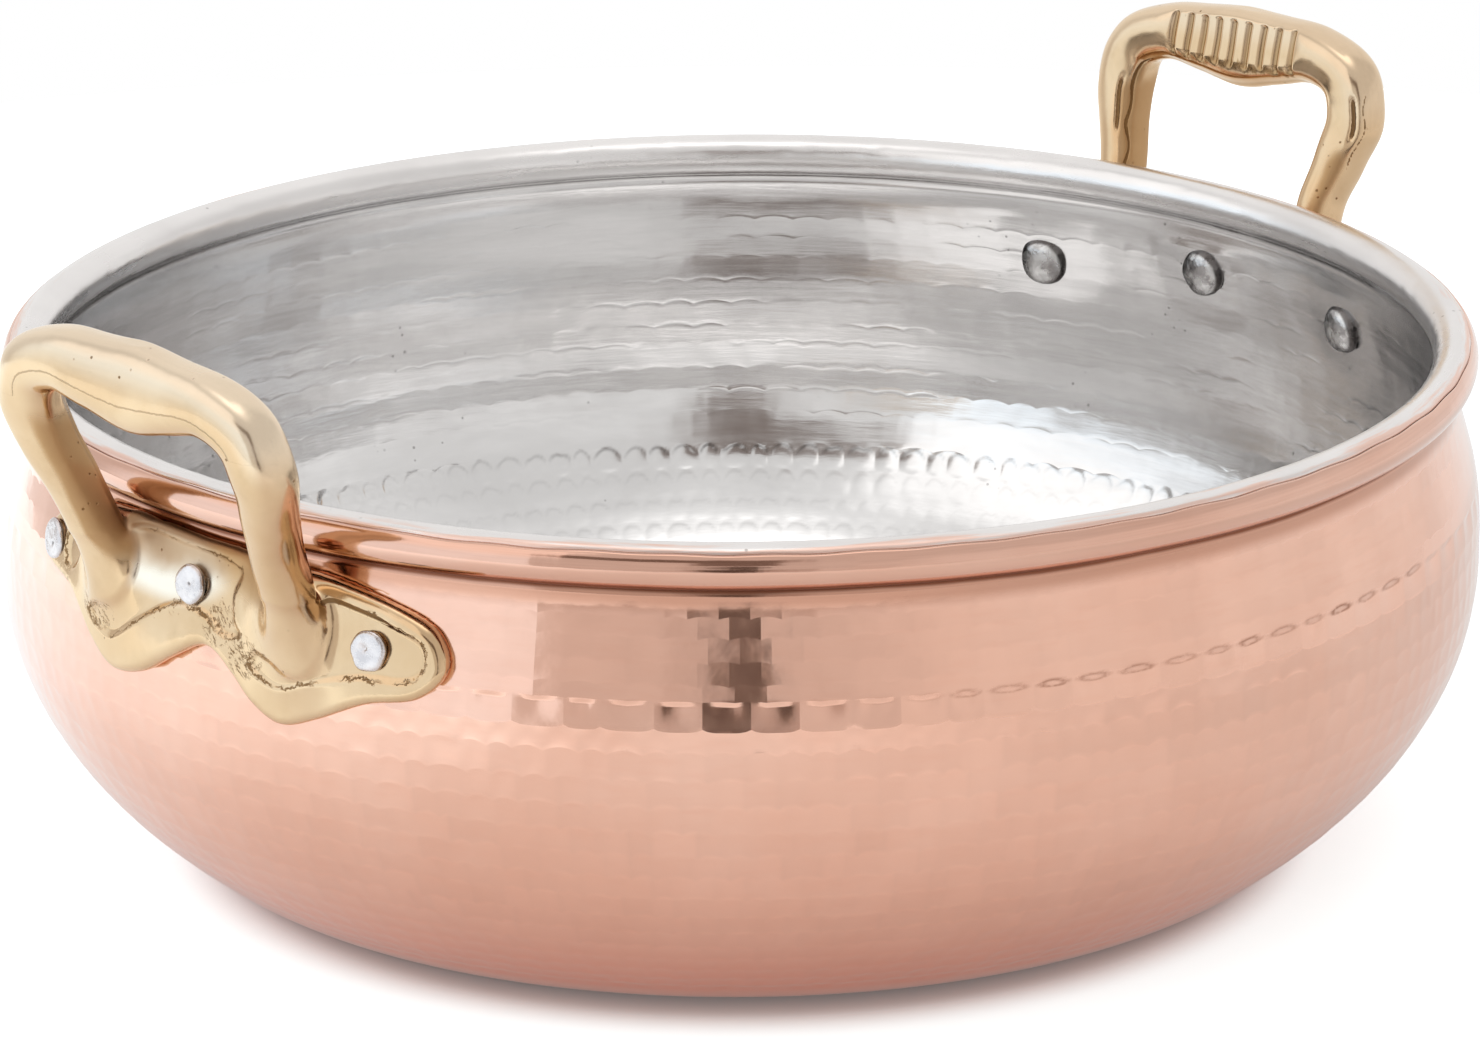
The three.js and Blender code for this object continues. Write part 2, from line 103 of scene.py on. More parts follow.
def polygon_distance(points, polygon):
    """Signed distance to a closed outline, positive inside."""
    best = np.full(len(points), 1e9)
    inside = np.zeros(len(points), bool)
    for p, q in zip(polygon, np.roll(polygon, -1, axis=0)):
        e = q - p
        t = np.clip(((points - p) @ e) / (e @ e), 0, 1)
        best = np.minimum(best, np.linalg.norm(points - p - t[:, None] * e, axis=1))
        crosses = (p[1] > points[:, 1]) != (q[1] > points[:, 1])
        with np.errstate(divide="ignore", invalid="ignore"):
            x = p[0] + (points[:, 1] - p[1]) * e[0] / e[1]
        inside ^= crosses & (points[:, 0] < x)
    return np.where(inside, best, -best)


# The wall's profile

def wall_radius(z):
    """Radius of the bowl's outer face at each height."""
    z = np.asarray(z, float)
    angles = np.linspace(0, math.pi / 2, 400)
    r_low = BASE_R + (BELLY_R - BASE_R) * np.cos(angles) ** 1.81
    z_low = BELLY_H * (1 - np.sin(angles) ** 0.93)
    low = np.interp(z, z_low[::-1], r_low[::-1])
    s = np.clip((z - BELLY_H) / (NECK_H - BELLY_H), 0, 1)
    high = BELLY_R - (BELLY_R - NECK_R) * (1 - np.cos(math.pi * s ** 1.57)) / 2
    return np.where(z < BELLY_H, low, high)


class Profile:
    """A line of radius and height, read by its length in millimetres."""

    def __init__(self, points):
        keep = np.r_[True, np.hypot(*np.diff(points, axis=0).T) > 1e-6]
        self.points = points[keep]
        step = np.hypot(*np.diff(self.points, axis=0).T)
        self.length = np.r_[0, np.cumsum(step)]
        tangent = np.gradient(self.points, self.length, axis=0)
        tangent /= np.linalg.norm(tangent, axis=1)[:, None]
        self.normal = np.stack([tangent[:, 1], -tangent[:, 0]], 1)

    def read(self, values, s):
        return np.stack([np.interp(s, self.length, values[:, k]) for k in (0, 1)], -1)

    def at(self, s):
        return self.read(self.points, s)

    def normal_at(self, s):
        n = self.read(self.normal, s)
        return n / np.linalg.norm(n, axis=-1)[..., None]

    def at_height(self, z):
        """Length at a height, for a line that only rises."""
        return np.interp(z, self.points[:, 1], self.length)


def outer_profile():
    z = np.r_[np.linspace(0, 1, 30) ** 2 * 12, np.linspace(12, NECK_H, 240)[1:]]
    return Profile(np.stack([wall_radius(z), z], 1))


def inner_profile():
    """The lining's inner face, from the floor's edge up to the bead."""
    outer = outer_profile()
    inset = TIN_SEAT + TIN_T
    inner = outer.points - outer.normal_at(outer.length) * inset
    return Profile(inner[inner[:, 1] > inset])


# Hammered rows

class Row:
    """One row of hammer marks between two heights of a profile."""

    def __init__(self, profile, low, high, columns, mark, seed, shape="soft", steps=np.linspace(0, 1, 7),
                 flat=0.0, bowl=0.0, arch=0.0, tilt=0.0, chord=0.0, sign=1.0, tone=1.0, line=0.0,
                 centre=None, edges=None):
        self.low, self.high, self.steps = profile.at_height(low), profile.at_height(high), steps
        self.shape, self.flat, self.bowl, self.tilt = shape, flat, bowl, tilt
        self.chord, self.sign, self.tone, self.line = chord, sign, tone, line
        r = np.random.default_rng(seed)
        count = columns // mark
        start = r.integers(0, mark) if centre is None else centre + mark // 2
        if edges is None:
            edges = (start + np.arange(count) * mark) % columns
            kept = 0 if centre is None else np.abs(edges - centre) < 2 * mark
            edges = edges + r.integers(-1, 2, count) * (1 - kept)
        edges = np.sort(edges % columns)
        column = np.arange(columns)
        index = np.searchsorted(edges, column, side="right") - 1
        start, end = edges[index], edges[(index + 1) % count]
        width = (end - start) % columns
        self.p = 2 * ((column - start) % columns) / width - 1
        self.size = width / mark
        self.edge = edges
        self.chance = r.uniform(0, 1, count)[index]
        self.depth = r.uniform(0.7, 1.3, count)[index]
        self.lean = r.normal(0, 1, count)[index]
        self.side = r.normal(0, 1, count)[index]
        if centre is not None:
            calm = np.abs(column - centre) >= mark
            self.lean, self.side = self.lean * calm, self.side * calm
        self.arch_foot = arch * (1 - self.p ** 2)

    def depth_at(self, q):
        """Depth of the marks at q, from -1 at the row's foot to 1 at its top."""
        p, box = self.p, 1 - self.p ** 6
        across = self.flat * self.size ** 2 * (1 - p ** 2)
        if self.shape == "round":
            cup = np.clip(1 - 1.08 * (p ** 2 + q ** 2) ** 1.5, 0, 1)
        elif self.shape == "tongue":
            cup = np.clip(1 - 1.9 * p ** 2, 0, 1) ** 1.2 * smoothstep(1.0, 0.62, q) * ((q + 1) / 2) ** 1.2
        else:
            cup = (1 - p ** 2) * (1 - q ** 2)
        lean = self.tilt * (self.lean * box * q + 0.7 * self.side * p * (1 - p ** 4) * (1 - q ** 6))
        return self.sign * (lean - across - self.bowl * self.depth * cup)

    def tone_and_shading_at(self, q):
        """Tone of the copper, about -1 to 1: random for each mark, lighter in its burnished middle, with
        painted shading lighter towards its top.
        """
        middle = 0.55 * q * (1 - 0.5 * self.p ** 2) + 0.35 * (0.6 - self.p ** 2)
        return self.tone * (0.28 * self.side + middle)

    def shade_line_at(self, q):
        """Painted shade lines: on the upper lip of round marks, and round a tongue's lens."""
        if self.shape == "round":
            lip = bell(np.hypot(self.p, q), 0.84, 0.13) * smoothstep(0.1, 0.75, q)
            return self.line * lip * (0.5 + 0.5 * self.chance)
        lens = np.hypot(self.p / 0.62, (q - 0.80) / 0.20)
        return self.line * bell(lens, 1, 0.30) * (0.45 + 0.45 * self.chance)


def hammered(profile, rows, top_rings=()):
    """All rings of a wall of hammer marks, from the foot up.

    Returns lengths, points, depths, tones with painted shading, and painted shade lines as (rings, columns),
    the rings where rows meet, and for each ring the row that the edges below it belong to.
    """
    rings, borders, owner = [], [], []
    flat = np.zeros(len(rows[0].p))
    for k, row in enumerate(rows):
        above = rows[k + 1] if k + 1 < len(rows) else None
        low_wave, high_wave = row.arch_foot, above.arch_foot if above else flat
        foot, head = profile.at(row.low + low_wave), profile.at(row.high + high_wave)
        for i, t in enumerate(row.steps):
            if k and not i:
                continue
            q = 2 * t - 1
            s = row.low + (row.high - row.low) * t + low_wave * (1 - t) + high_wave * t
            depth = row.depth_at(q)
            if above and t == 1:
                depth = 0.5 * (depth + above.depth_at(-1.0))
                borders.append(len(rings))
            point = profile.at(s)
            point = point + row.chord * (foot + (head - foot) * t - point)
            rings.append((s, point, depth, row.tone_and_shading_at(q), row.shade_line_at(q)))
            owner.append(k)
    for s in top_rings:
        rings.append((s + flat, profile.at(s + flat), flat, flat, flat))
        owner.append(-1)
    return [np.array(part) for part in zip(*rings)], borders, owner


# Meshes

def set_attribute(mesh, name, values):
    layer = mesh.attributes.new(name, "FLOAT", "POINT")
    layer.data.foreach_set("value", np.asarray(values, np.float32))


def read_items(items, key, width, kind=float):
    """One property of a mesh's points or edges as an array."""
    values = np.empty(len(items) * width, kind)
    items.foreach_get(key, values)
    return values.reshape(-1, width)


def shown(mesh, material, smooth=True):
    """An object in the scene for a mesh, under the mesh's name."""
    mesh.polygons.foreach_set("use_smooth", np.full(len(mesh.polygons), smooth))
    mesh.materials.clear()
    if material:
        mesh.materials.append(material)
    obj = bpy.data.objects.new(mesh.name, mesh)
    bpy.context.scene.collection.objects.link(obj)
    return obj


def new_object(name, verts, faces, material, smooth=True):
    mesh = bpy.data.meshes.new(name)
    mesh.from_pydata(np.asarray(verts, float) * MM, [], faces)
    mesh.validate(clean_customdata=False)
    mesh.update()
    return shown(mesh, material, smooth)


def ring_theta(columns):
    return np.arange(columns) * 2 * math.pi / columns


def ring_faces(rings, columns):
    """Quads between closed rings of equally many points."""
    r = np.arange(rings - 1)[:, None] * columns
    c = np.arange(columns)
    n = (c + 1) % columns
    return np.stack([r + c, r + n, r + columns + n, r + columns + c], -1).reshape(-1, 4)


def revolve(radius, height):
    """Points of closed rings, from radius and height given as (rings, columns)."""
    theta = ring_theta(radius.shape[1])
    return np.stack([radius * np.cos(theta), radius * np.sin(theta), height], -1).reshape(-1, 3)


def lathed(name, material, columns, sections, ends, inwards=False):
    """A closed turned body from sections of radius and height, and its ends' heights on the axis."""
    full = [np.broadcast_arrays(r, z, np.zeros(columns))[:2] for r, z in sections]
    radius, height = (np.concatenate(part) for part in zip(*full))
    verts = np.vstack([revolve(radius, height), [[0, 0, z] for z in ends]])
    here = np.arange(columns)
    after = np.roll(here, -1)
    tip = np.full(columns, radius.size)
    last = radius.size - columns
    caps = np.vstack([np.stack([tip, after, here], 1), np.stack([tip + 1, last + here, last + after], 1)])
    way = -1 if inwards else 1
    faces = ring_faces(len(radius), columns)[:, ::way].tolist() + caps[:, ::way].tolist()
    return new_object(name, verts, faces, material)


def set_rings(mesh, name, columns, first, values):
    """Sets an attribute on some rings of a turned body, and 0 on the others."""
    full = np.zeros(len(mesh.vertices))
    full[first * columns:first * columns + values.size] = values.ravel()
    set_attribute(mesh, name, full)


def sharpen(mesh, first, rows, borders, owner, sharp_rows, sharp_marks):
    """Marks sharp edges, along the feet of some rows and between the marks of others."""
    columns = np.arange(len(rows[0].p))
    size = len(columns)
    pairs = []
    for ring in borders:
        if owner[ring] + 1 in sharp_rows:
            at = (first + ring) * size
            pairs.append(np.stack([at + columns, at + (columns + 1) % size], 1))
    for ring, k in enumerate(owner[1:]):
        if k in sharp_marks:
            at = (first + ring) * size + rows[k].edge
            pairs.append(np.stack([at, at + size], 1))
    code = [len(mesh.vertices), 1]
    ends = np.sort(read_items(mesh.edges, "vertices", 2, np.int64), axis=1) @ code
    layer = mesh.attributes.get("sharp_edge") or mesh.attributes.new("sharp_edge", "BOOLEAN", "EDGE")
    layer.data.foreach_set("value", np.isin(ends, np.sort(np.vstack(pairs), axis=1) @ code))


# Materials

class Value:
    """A socket of a material, for sums and products."""

    def __init__(self, nodes, socket):
        self.nodes, self.socket = nodes, socket

    def __add__(self, other):
        return self.nodes.math("ADD", self, other)

    def __sub__(self, other):
        return self.nodes.math("SUBTRACT", self, other)

    def __rsub__(self, other):
        return self.nodes.math("SUBTRACT", other, self)

    def __mul__(self, other):
        return self.nodes.math("MULTIPLY", self, other)

    def __truediv__(self, other):
        return self.nodes.math("DIVIDE", self, other)


class Nodes:
    """A short way to wire a material's nodes."""

    def __init__(self, name):
        self.material = bpy.data.materials.new(name)
        self.material.use_nodes = True
        self.tree = self.material.node_tree
        self.tree.nodes.clear()

    def node(self, kind, inputs, **settings):
        node = self.tree.nodes.new(kind)
        for key, value in settings.items():
            setattr(node, key, value)
        for key, value in inputs.items():
            socket = node.inputs[key]
            if isinstance(value, Value):
                self.tree.links.new(value.socket, socket)
            elif socket.type == "RGBA":
                socket.default_value = (*value, 1.0)
            else:
                socket.default_value = value
        return node

    def add(self, kind, inputs, out=0, **settings):
        return Value(self, self.node(kind, inputs, **settings).outputs[out])

    def surface(self, shader):
        out = self.node("ShaderNodeOutputMaterial", {})
        self.tree.links.new(shader.socket, out.inputs[0])
        return self.material

    def math(self, op, *values, clamp=False):
        return self.add("ShaderNodeMath", dict(enumerate(values)), operation=op, use_clamp=clamp)

    def size(self, value):
        return self.math("ABSOLUTE", value)

    def rest(self, value):
        """What a value leaves of 1, and never less than 0."""
        return self.math("SUBTRACT", 1.0, value, clamp=True)

    def length(self, x, y):
        return self.math("SQRT", x * x + y * y)

    def degrees(self, y, x):
        return self.math("ARCTAN2", y, x) * (180 / math.pi)

    def largest(self, first, *others):
        for other in others:
            first = self.math("MAXIMUM", first, other)
        return first

    def span(self, value, a, b, lo=0.0, hi=1.0, kind="SMOOTHSTEP"):
        inputs = {0: value, 1: a, 2: b, 3: lo, 4: hi}
        return self.add("ShaderNodeMapRange", inputs, interpolation_type=kind)

    def noise(self, vector, scale, detail=3.0, rough=0.5, distort=0.0):
        inputs = {"Vector": vector, "Scale": scale, "Detail": detail, "Roughness": rough}
        return self.add("ShaderNodeTexNoise", {**inputs, "Distortion": distort}, "Fac")

    def dots(self, vector, scale):
        inputs = {"Vector": vector, "Scale": scale, "Randomness": 1.0}
        return self.add("ShaderNodeTexVoronoi", inputs, "Distance")

    def mix(self, factor, a, b):
        return self.add("ShaderNodeMix", {"Factor": factor, 6: a, 7: b}, 2, data_type="RGBA")

    def coats(self, color, *coats):
        """A colour under coats, each given as a mask and a colour."""
        for mask, coat in coats:
            color = self.mix(mask, color, coat)
        return color

    def value(self, name):
        return self.add("ShaderNodeAttribute", {}, "Fac", attribute_name=name)

    def place(self):
        return self.add("ShaderNodeTexCoord", {}, "Object")

    def split(self, vector):
        return [Value(self, out) for out in self.node("ShaderNodeSeparateXYZ", {0: vector}).outputs]

    def join(self, x, y, z):
        return self.add("ShaderNodeCombineXYZ", {0: x, 1: y, 2: z})

    def round_place(self, rise):
        """Coordinates of a turned surface: along the turn in metres, height and radius."""
        x, y, z = self.split(self.place())
        radius = self.length(x, y)
        return self.join(x / radius * 0.14, y / radius * 0.14, (z - radius * 0.6) * rise)

    def bump(self, height, strength, distance, **normal):
        inputs = {"Height": height, "Strength": strength, "Distance": distance, **normal}
        return self.add("ShaderNodeBump", inputs)

    def metal(self, color, rough, normal, tint=(1.0, 1.0, 1.0), coat=0.0, ior=1.55):
        return self.surface(self.add("ShaderNodeBsdfPrincipled", {
            "Metallic": 1.0, "Base Color": color, "Roughness": rough, "Normal": normal, "Specular Tint": tint,
            "Coat Weight": coat, "Coat Roughness": 0.06, "Coat IOR": ior}))


def copper_material():
    n = Nodes("copper")
    place = n.place()
    cloud = n.noise(place, 24.0, 4.0, 0.55)
    streak = n.noise(n.round_place(6.0), 90.0, 3.0, 0.6)
    color = n.mix(n.span(cloud, 0.35, 0.7), (0.84, 0.475, 0.345), (0.88, 0.53, 0.40))
    color = n.mix(n.span(streak, 0.45, 0.8, 0.0, 0.3), color, (0.82, 0.43, 0.30))
    # tone of each mark: random and burnished, with painted shading lighter towards its top
    tone = n.span(n.value("tone"), -1.3, 1.3, 0.94, 1.06, "LINEAR")
    color = n.add("ShaderNodeVectorMath", {0: color, 3: tone}, operation="SCALE")
    # redder copper near the foot; painted shade in a band under the bead, a dark line in the crease that is
    # partly patina and partly painted shade, and a slightly darker bead
    height = n.split(place)[2] * 1000.0 + (cloud - 0.5) * 1.2
    shade = n.span(height, 82.6, 85.4) * n.span(height, 89.6, 88.6)
    crease = n.span(height, 86.5, 87.2) * n.span(height, 89.0, 88.5)
    # painted shade round the tongues' lenses
    line = n.value("line") * n.span(n.noise(place, 900.0, 2.0), 0.3, 0.5, 0.55, 1.0)
    color = n.coats(
        color,
        (n.span(height, 21.0, 2.0, 0.0, 0.95), (0.86, 0.40, 0.27)),
        (shade * 0.75, (0.50, 0.24, 0.155)),
        (crease * 0.9, (0.22, 0.075, 0.04)),
        (n.span(height, 88.8, 89.8, 0.0, 0.13), (0.0, 0.0, 0.0)),
        (line * 0.85, (0.30, 0.13, 0.08)))
    rough = n.span(cloud, 0.3, 0.75, 0.10, 0.17) + crease * 0.2
    normal = n.bump(n.noise(place, 150.0), 0.10, 0.0004)
    clean = n.rest(n.largest(shade * 0.5, crease, line))
    return n.metal(color, rough, normal, (1.0, 0.95, 0.92), coat=clean, ior=1.62)


def tin_material():
    n = Nodes("tin")
    place = n.place()
    z = n.split(place)[2]
    wiped = n.noise(n.round_place(5.0), 22.0, 4.0, 0.6, 0.4)
    cloud = n.noise(place, 16.0, 4.0, 0.6)
    fine = n.noise(n.round_place(16.0), 40.0, 4.0, 0.6)
    # copper shows where the tin is rubbed off
    rubbed = n.span(n.value("worn") + (fine - 0.5) * 2.2, 0.55, 1.0, 0.0, 0.8)
    spots = n.span(n.dots(place, 420.0), 0.18, 0.08) * n.span(n.noise(place, 70.0, 2.0), 0.6, 0.68)
    color = n.coats(
        n.mix(n.span(wiped, 0.3, 0.7), (0.79, 0.78, 0.775), (0.91, 0.90, 0.895)),
        (n.span(cloud, 0.48, 0.72, 0.0, 0.4), (0.74, 0.725, 0.72)),
        (n.span(z, 0.089, 0.091, 0.0, 0.4), (0.79, 0.75, 0.73)),
        (rubbed * n.span(n.value("worn"), 0.0, 0.3), (0.86, 0.56, 0.45)),
        (spots * 0.6, (0.25, 0.24, 0.23)),
        # painted shade on the round marks' upper lips
        (n.value("line") * 0.9, (0.16, 0.15, 0.145)))
    rough = n.span(cloud, 0.3, 0.7, 0.13, 0.22) + n.span(fine, 0.35, 0.7, -0.02, 0.04)
    rough = rough + n.span(z, 0.088, 0.091, 0.0, 0.12)
    normal = n.bump(spots, -0.5, 0.0003, Normal=n.bump(fine, 0.10, 0.0004))
    return n.metal(color, rough, normal)


def brass_material():
    n = Nodes("brass")
    place = n.place()
    cloud = n.noise(place, 45.0, 4.0, 0.55)
    stain = n.noise(place, 95.0, 5.0, 0.65)
    # a ragged seam round the sunk fields, and the mould's parting line
    jag = n.noise(place, 620.0, 4.0, 0.65) - 0.5
    seam = n.span(n.size(n.value("seam") + jag * 3.2), 0.30, 0.08)
    seam = seam * n.span(n.noise(place, 190.0, 2.0), 0.40, 0.54)
    part = n.span(n.size(n.value("parting") + jag * 0.6), 0.22, 0.05) * 0.5
    # torn casting skin near the feet of the legs
    along, over = n.value("plate_across"), n.value("plate_rise")
    slant = n.join((along - over) * 0.22, along + over, 0.0)
    torn = n.span(n.size(n.noise(slant, 0.75, 4.0, 0.7, 0.8) - 0.5), 0.030, 0.008)
    torn = torn * n.span(n.value("torn"), 0.25, 0.7) * n.span(n.noise(place, 800.0, 2.0), 0.42, 0.52)
    rusty = n.span(n.value("rusty") + (cloud - 0.5) * 1.4, 0.25, 1.0)
    pitted = n.noise(place, 110.0, 2.0) + n.value("rusty") * 0.12
    pit = n.span(n.dots(place, 430.0), 0.16, 0.06) * n.span(pitted, 0.58, 0.68)
    dark = n.largest(seam, part, torn, pit, n.span(n.value("slit"), 0.3, 0.7))
    cavity_shade = n.span(n.value("cavity_shade"), 0.2, 1.0)
    color = n.coats(
        n.mix(n.span(cloud, 0.35, 0.7), (0.675, 0.46, 0.26), (0.755, 0.55, 0.34)),
        (n.span(stain, 0.50, 0.72, 0.0, 0.38), (0.56, 0.37, 0.19)),
        # painted highlight on the grip's top and the plate's middle
        (n.value("painted_highlight"), (0.93, 0.84, 0.70)),
        (rusty * 0.72, (0.46, 0.26, 0.11)),
        # painted shade in the hollows and the grip's grooves, partly brown patina
        (cavity_shade * 0.8, (0.34, 0.20, 0.085)),
        (dark * 0.85, (0.19, 0.095, 0.03)))
    # rougher where the painted highlight is faint, as on the grip; smooth where it is strong, on the plate
    dull = n.value("painted_highlight") * n.span(n.value("painted_highlight"), 0.85, 0.6)
    rough = n.span(cloud, 0.3, 0.75, 0.12, 0.22) + n.largest(dark, rusty) * 0.3 + dull * 0.16
    uneven = n.bump(n.noise(place, 48.0), 0.42, 0.0012)
    normal = n.bump(dark * -1.0, 0.5, 0.0003, Normal=uneven)
    coat = n.rest(n.largest(dark, cavity_shade, rusty)) * 0.4
    return n.metal(color, rough, normal, (1.0, 0.97, 0.9), coat=coat, ior=1.65)


def rivet_material():
    n = Nodes("rivet_metal")
    place = n.place()
    cloud = n.noise(place, 300.0, 4.0, 0.6)
    worn = n.mix(n.span(cloud, 0.4, 0.6), (0.42, 0.405, 0.40), (0.74, 0.73, 0.72))
    color = n.coats(
        n.mix(n.span(cloud, 0.35, 0.7), (0.62, 0.575, 0.57), (0.80, 0.745, 0.735)),
        (n.value("worn"), worn),
        # painted shade round the heads' rims and in the dimple
        (n.span(n.value("cavity_shade"), 0.2, 0.9) * 0.85, (0.10, 0.085, 0.08)))
    normal = n.bump(n.noise(place, 420.0, 3.0, 0.6), 0.5, 0.0006)
    return n.metal(color, n.span(cloud, 0.3, 0.7, 0.2, 0.34), normal)


def wire_material():
    n = Nodes("iron_wire")
    cloud = n.noise(n.place(), 200.0, 4.0, 0.6)
    color = n.mix(n.span(cloud, 0.3, 0.7), (0.16, 0.14, 0.13), (0.28, 0.25, 0.23))
    return n.metal(color, n.span(cloud, 0.3, 0.7, 0.45, 0.65), n.bump(cloud, 0.3, 0.0004))


# The bowl and its lining

# The sheet is rolled round the wire, with the hollow inside it
ROLL_R, ROLL_END = 2.5, math.radians(-66)
BARE_FROM, TIN_EDGE = math.radians(-20), math.radians(46.5)
# Rivets' places on the plate, across and up
RIVETS = [(-42.0, 17.0), (0.0, 20.8), (40.0, 17.8)]


def outer_rows(profile):
    """Planished rows on the shoulder, a sharp row of tongues, and soft rows below."""
    rows = []
    low = [3.0, 5.0, 7.4, 10.2, 13.4, 16.8, 20.6, 24.6, 29.0, 33.5, 38.2, 43.0, 48.0, 53.0, 58.3, 63.4]
    soft = dict(flat=0.016, bowl=0.060, arch=0.9, tilt=0.026, chord=0.5)
    for k, (a, b) in enumerate(zip(low, low[1:])):
        rows.append(Row(profile, a, b, COPPER_COLUMNS, 6, 100 + k, **soft))
    off = np.arange(COPPER_COLUMNS) - FRONT
    # painted shade lines round the tongues: strong on the side the camera faces, faint elsewhere
    painted_line_strength = smoothstep(22, 58, off) * smoothstep(168, 156, off) + 0.12 * (np.abs(off) < 170)
    steps = np.r_[np.linspace(0, 0.72, 9), np.linspace(0.72, 1, 9)[1:]]
    tongue = dict(flat=0.040, bowl=0.17, tilt=0.004, steps=steps, chord=0.8, centre=FRONT - 2, line=painted_line_strength)
    rows.append(Row(profile, 63.4, 68.2, COPPER_COLUMNS, 9, 141, "tongue", **tongue))
    rows[-1].arch_foot = -0.6 * (1 - np.abs(rows[-1].p) ** 4)
    upper = [68.2, 70.8, 74.7, 78.8, 82.3, 85.9]
    flat = 0.008 + 0.008 * bell(off, 0, 16) + 0.008 * bell(off, -39, 9)
    plane = dict(flat=flat, bowl=0.004, tilt=0.0035, chord=0.85, tone=0.45)
    for k, (a, b, shift) in enumerate(zip(upper, upper[1:], (2, 1, 3, 1, -1))):
        plane.update(arch=0.5 if k else 0.15, centre=FRONT + shift, edges=shoulder_edges(shift, 160 + k))
        row = Row(profile, a, b, COPPER_COLUMNS, 6, 150 + k, **plane)
        away = row.edge - FRONT
        row.edge = row.edge[(np.abs(away) < 14) | (np.abs(away + 39) < 3)]
        rows.append(row)
    return rows


def shoulder_edges(shift, seed):
    """Where the shoulder's marks meet: in line at the front and on its left."""
    count = COPPER_COLUMNS // 6
    off = 3 + 6.0 * (np.arange(count) - count // 2)
    loose = (off > 16) | (off < -60)
    jitter = np.random.default_rng(seed).integers(-1, 2, count) * loose
    return np.rint(FRONT + off + jitter + shift * (np.abs(off) < 12)).astype(int)


def inner_rows(profile):
    """Rows that show through the tin, and a ring of round marks low on the wall."""
    rows = []
    low = [4.0, 8.0, 12.2, 16.0, 20.2, 24.8]
    cup = dict(tilt=0.004, sign=-1.0)
    for k, (a, b) in enumerate(zip(low, low[1:])):
        # line: painted shade on the round marks' upper lips
        faint = dict(bowl=0.05, arch=0.6, steps=np.linspace(0, 1, 10), line=0.16)
        rows.append(Row(profile, a, b, TIN_COLUMNS, 9, 200 + k, "round", **cup, **faint))
    # the painted shade lines are strongest on the wall that faces the camera
    off = (np.arange(TIN_COLUMNS) - FRONT * 1.5 + TIN_COLUMNS) % TIN_COLUMNS - TIN_COLUMNS / 2
    deep = dict(bowl=0.19, arch=0.9, steps=np.linspace(0, 1, 19), line=0.2 + 0.8 * bell(off, 0, 62))
    rows.append(Row(profile, 24.8, 29.8, TIN_COLUMNS, 9, 220, "round", **cup, **deep))
    upper = [29.8, 36, 40.5, 45, 50, 54, 59, 64, 69, 73.5, 78, 82]
    plane = dict(flat=0.020, bowl=0.006, arch=0.75, tilt=0.016, chord=0.6)
    steps = [0, 0.07, 0.2, 0.4, 0.6, 0.8, 0.93, 1]
    for k, (a, b) in enumerate(zip(upper, upper[1:])):
        rows.append(Row(profile, a, b, TIN_COLUMNS, 12, 230 + k, steps=steps, **plane))
    return rows


def border_wobble(theta):
    """How the tin's edge on the bead wanders, as an angle round the bead."""
    return np.radians(2.2 * waves(theta, 0.0, 5, 3, 60, 14))


def on_bead(radius, angle):
    """Radius and height of places round the bead's centre."""
    return BEAD_CR + radius * np.cos(angle), BEAD_CH + radius * np.sin(angle)


def sunk_wall(profile, lengths, points, depths):
    """Radius and height of a hammered wall."""
    moved = points + profile.normal_at(lengths) * depths[..., None]
    return moved[..., 0], moved[..., 1]


def hidden_face(inset, samples):
    """The hidden side of a sheet, from the neck back down to the axis."""
    profile = outer_profile()
    s = np.linspace(profile.length[-1], 0.0, samples)
    p = profile.at(s) - profile.normal_at(s) * inset
    radius = np.r_[p[:, 0], BASE_R * 0.5, 5.0]
    height = np.r_[np.maximum(p[:, 1], inset), inset, inset]
    return radius[:, None], height[:, None]


def copper_bead(theta):
    """The rolled bead, bare copper from the tin's edge round to its end underneath."""
    skin, covered = BEAD_R - 0.02, BEAD_R - TIN_T - TIN_GAP
    start = -math.acos((NECK_R - BEAD_CR) / ROLL_R)
    hollow = np.linspace(start, ROLL_END - 2 * math.pi, 20)[:, None]
    under = np.linspace(ROLL_END, BARE_FROM, 6)[:, None]
    top = TIN_EDGE + border_wobble(theta)
    outer = BARE_FROM + (top - BARE_FROM) * np.linspace(0, 1, 12)[1:, None]
    end = 2 * math.pi - math.acos((NECK_R - COPPER_T - BEAD_CR) / covered)
    inner = top + (end - top) * np.linspace(0, 1, 16)[:, None]
    radius, height = on_bead(skin, outer)
    fade = np.sin(np.linspace(0.1, math.pi - 0.1, len(outer)))[:, None]
    lathe_marks = np.abs(0.035 * waves(theta, 0.0, 41, 4, 90, 20)) * fade
    outer = radius - lathe_marks, height - 0.5 * lathe_marks
    return [on_bead(ROLL_R, hollow), on_bead(skin, under), outer, on_bead(covered, inner)]


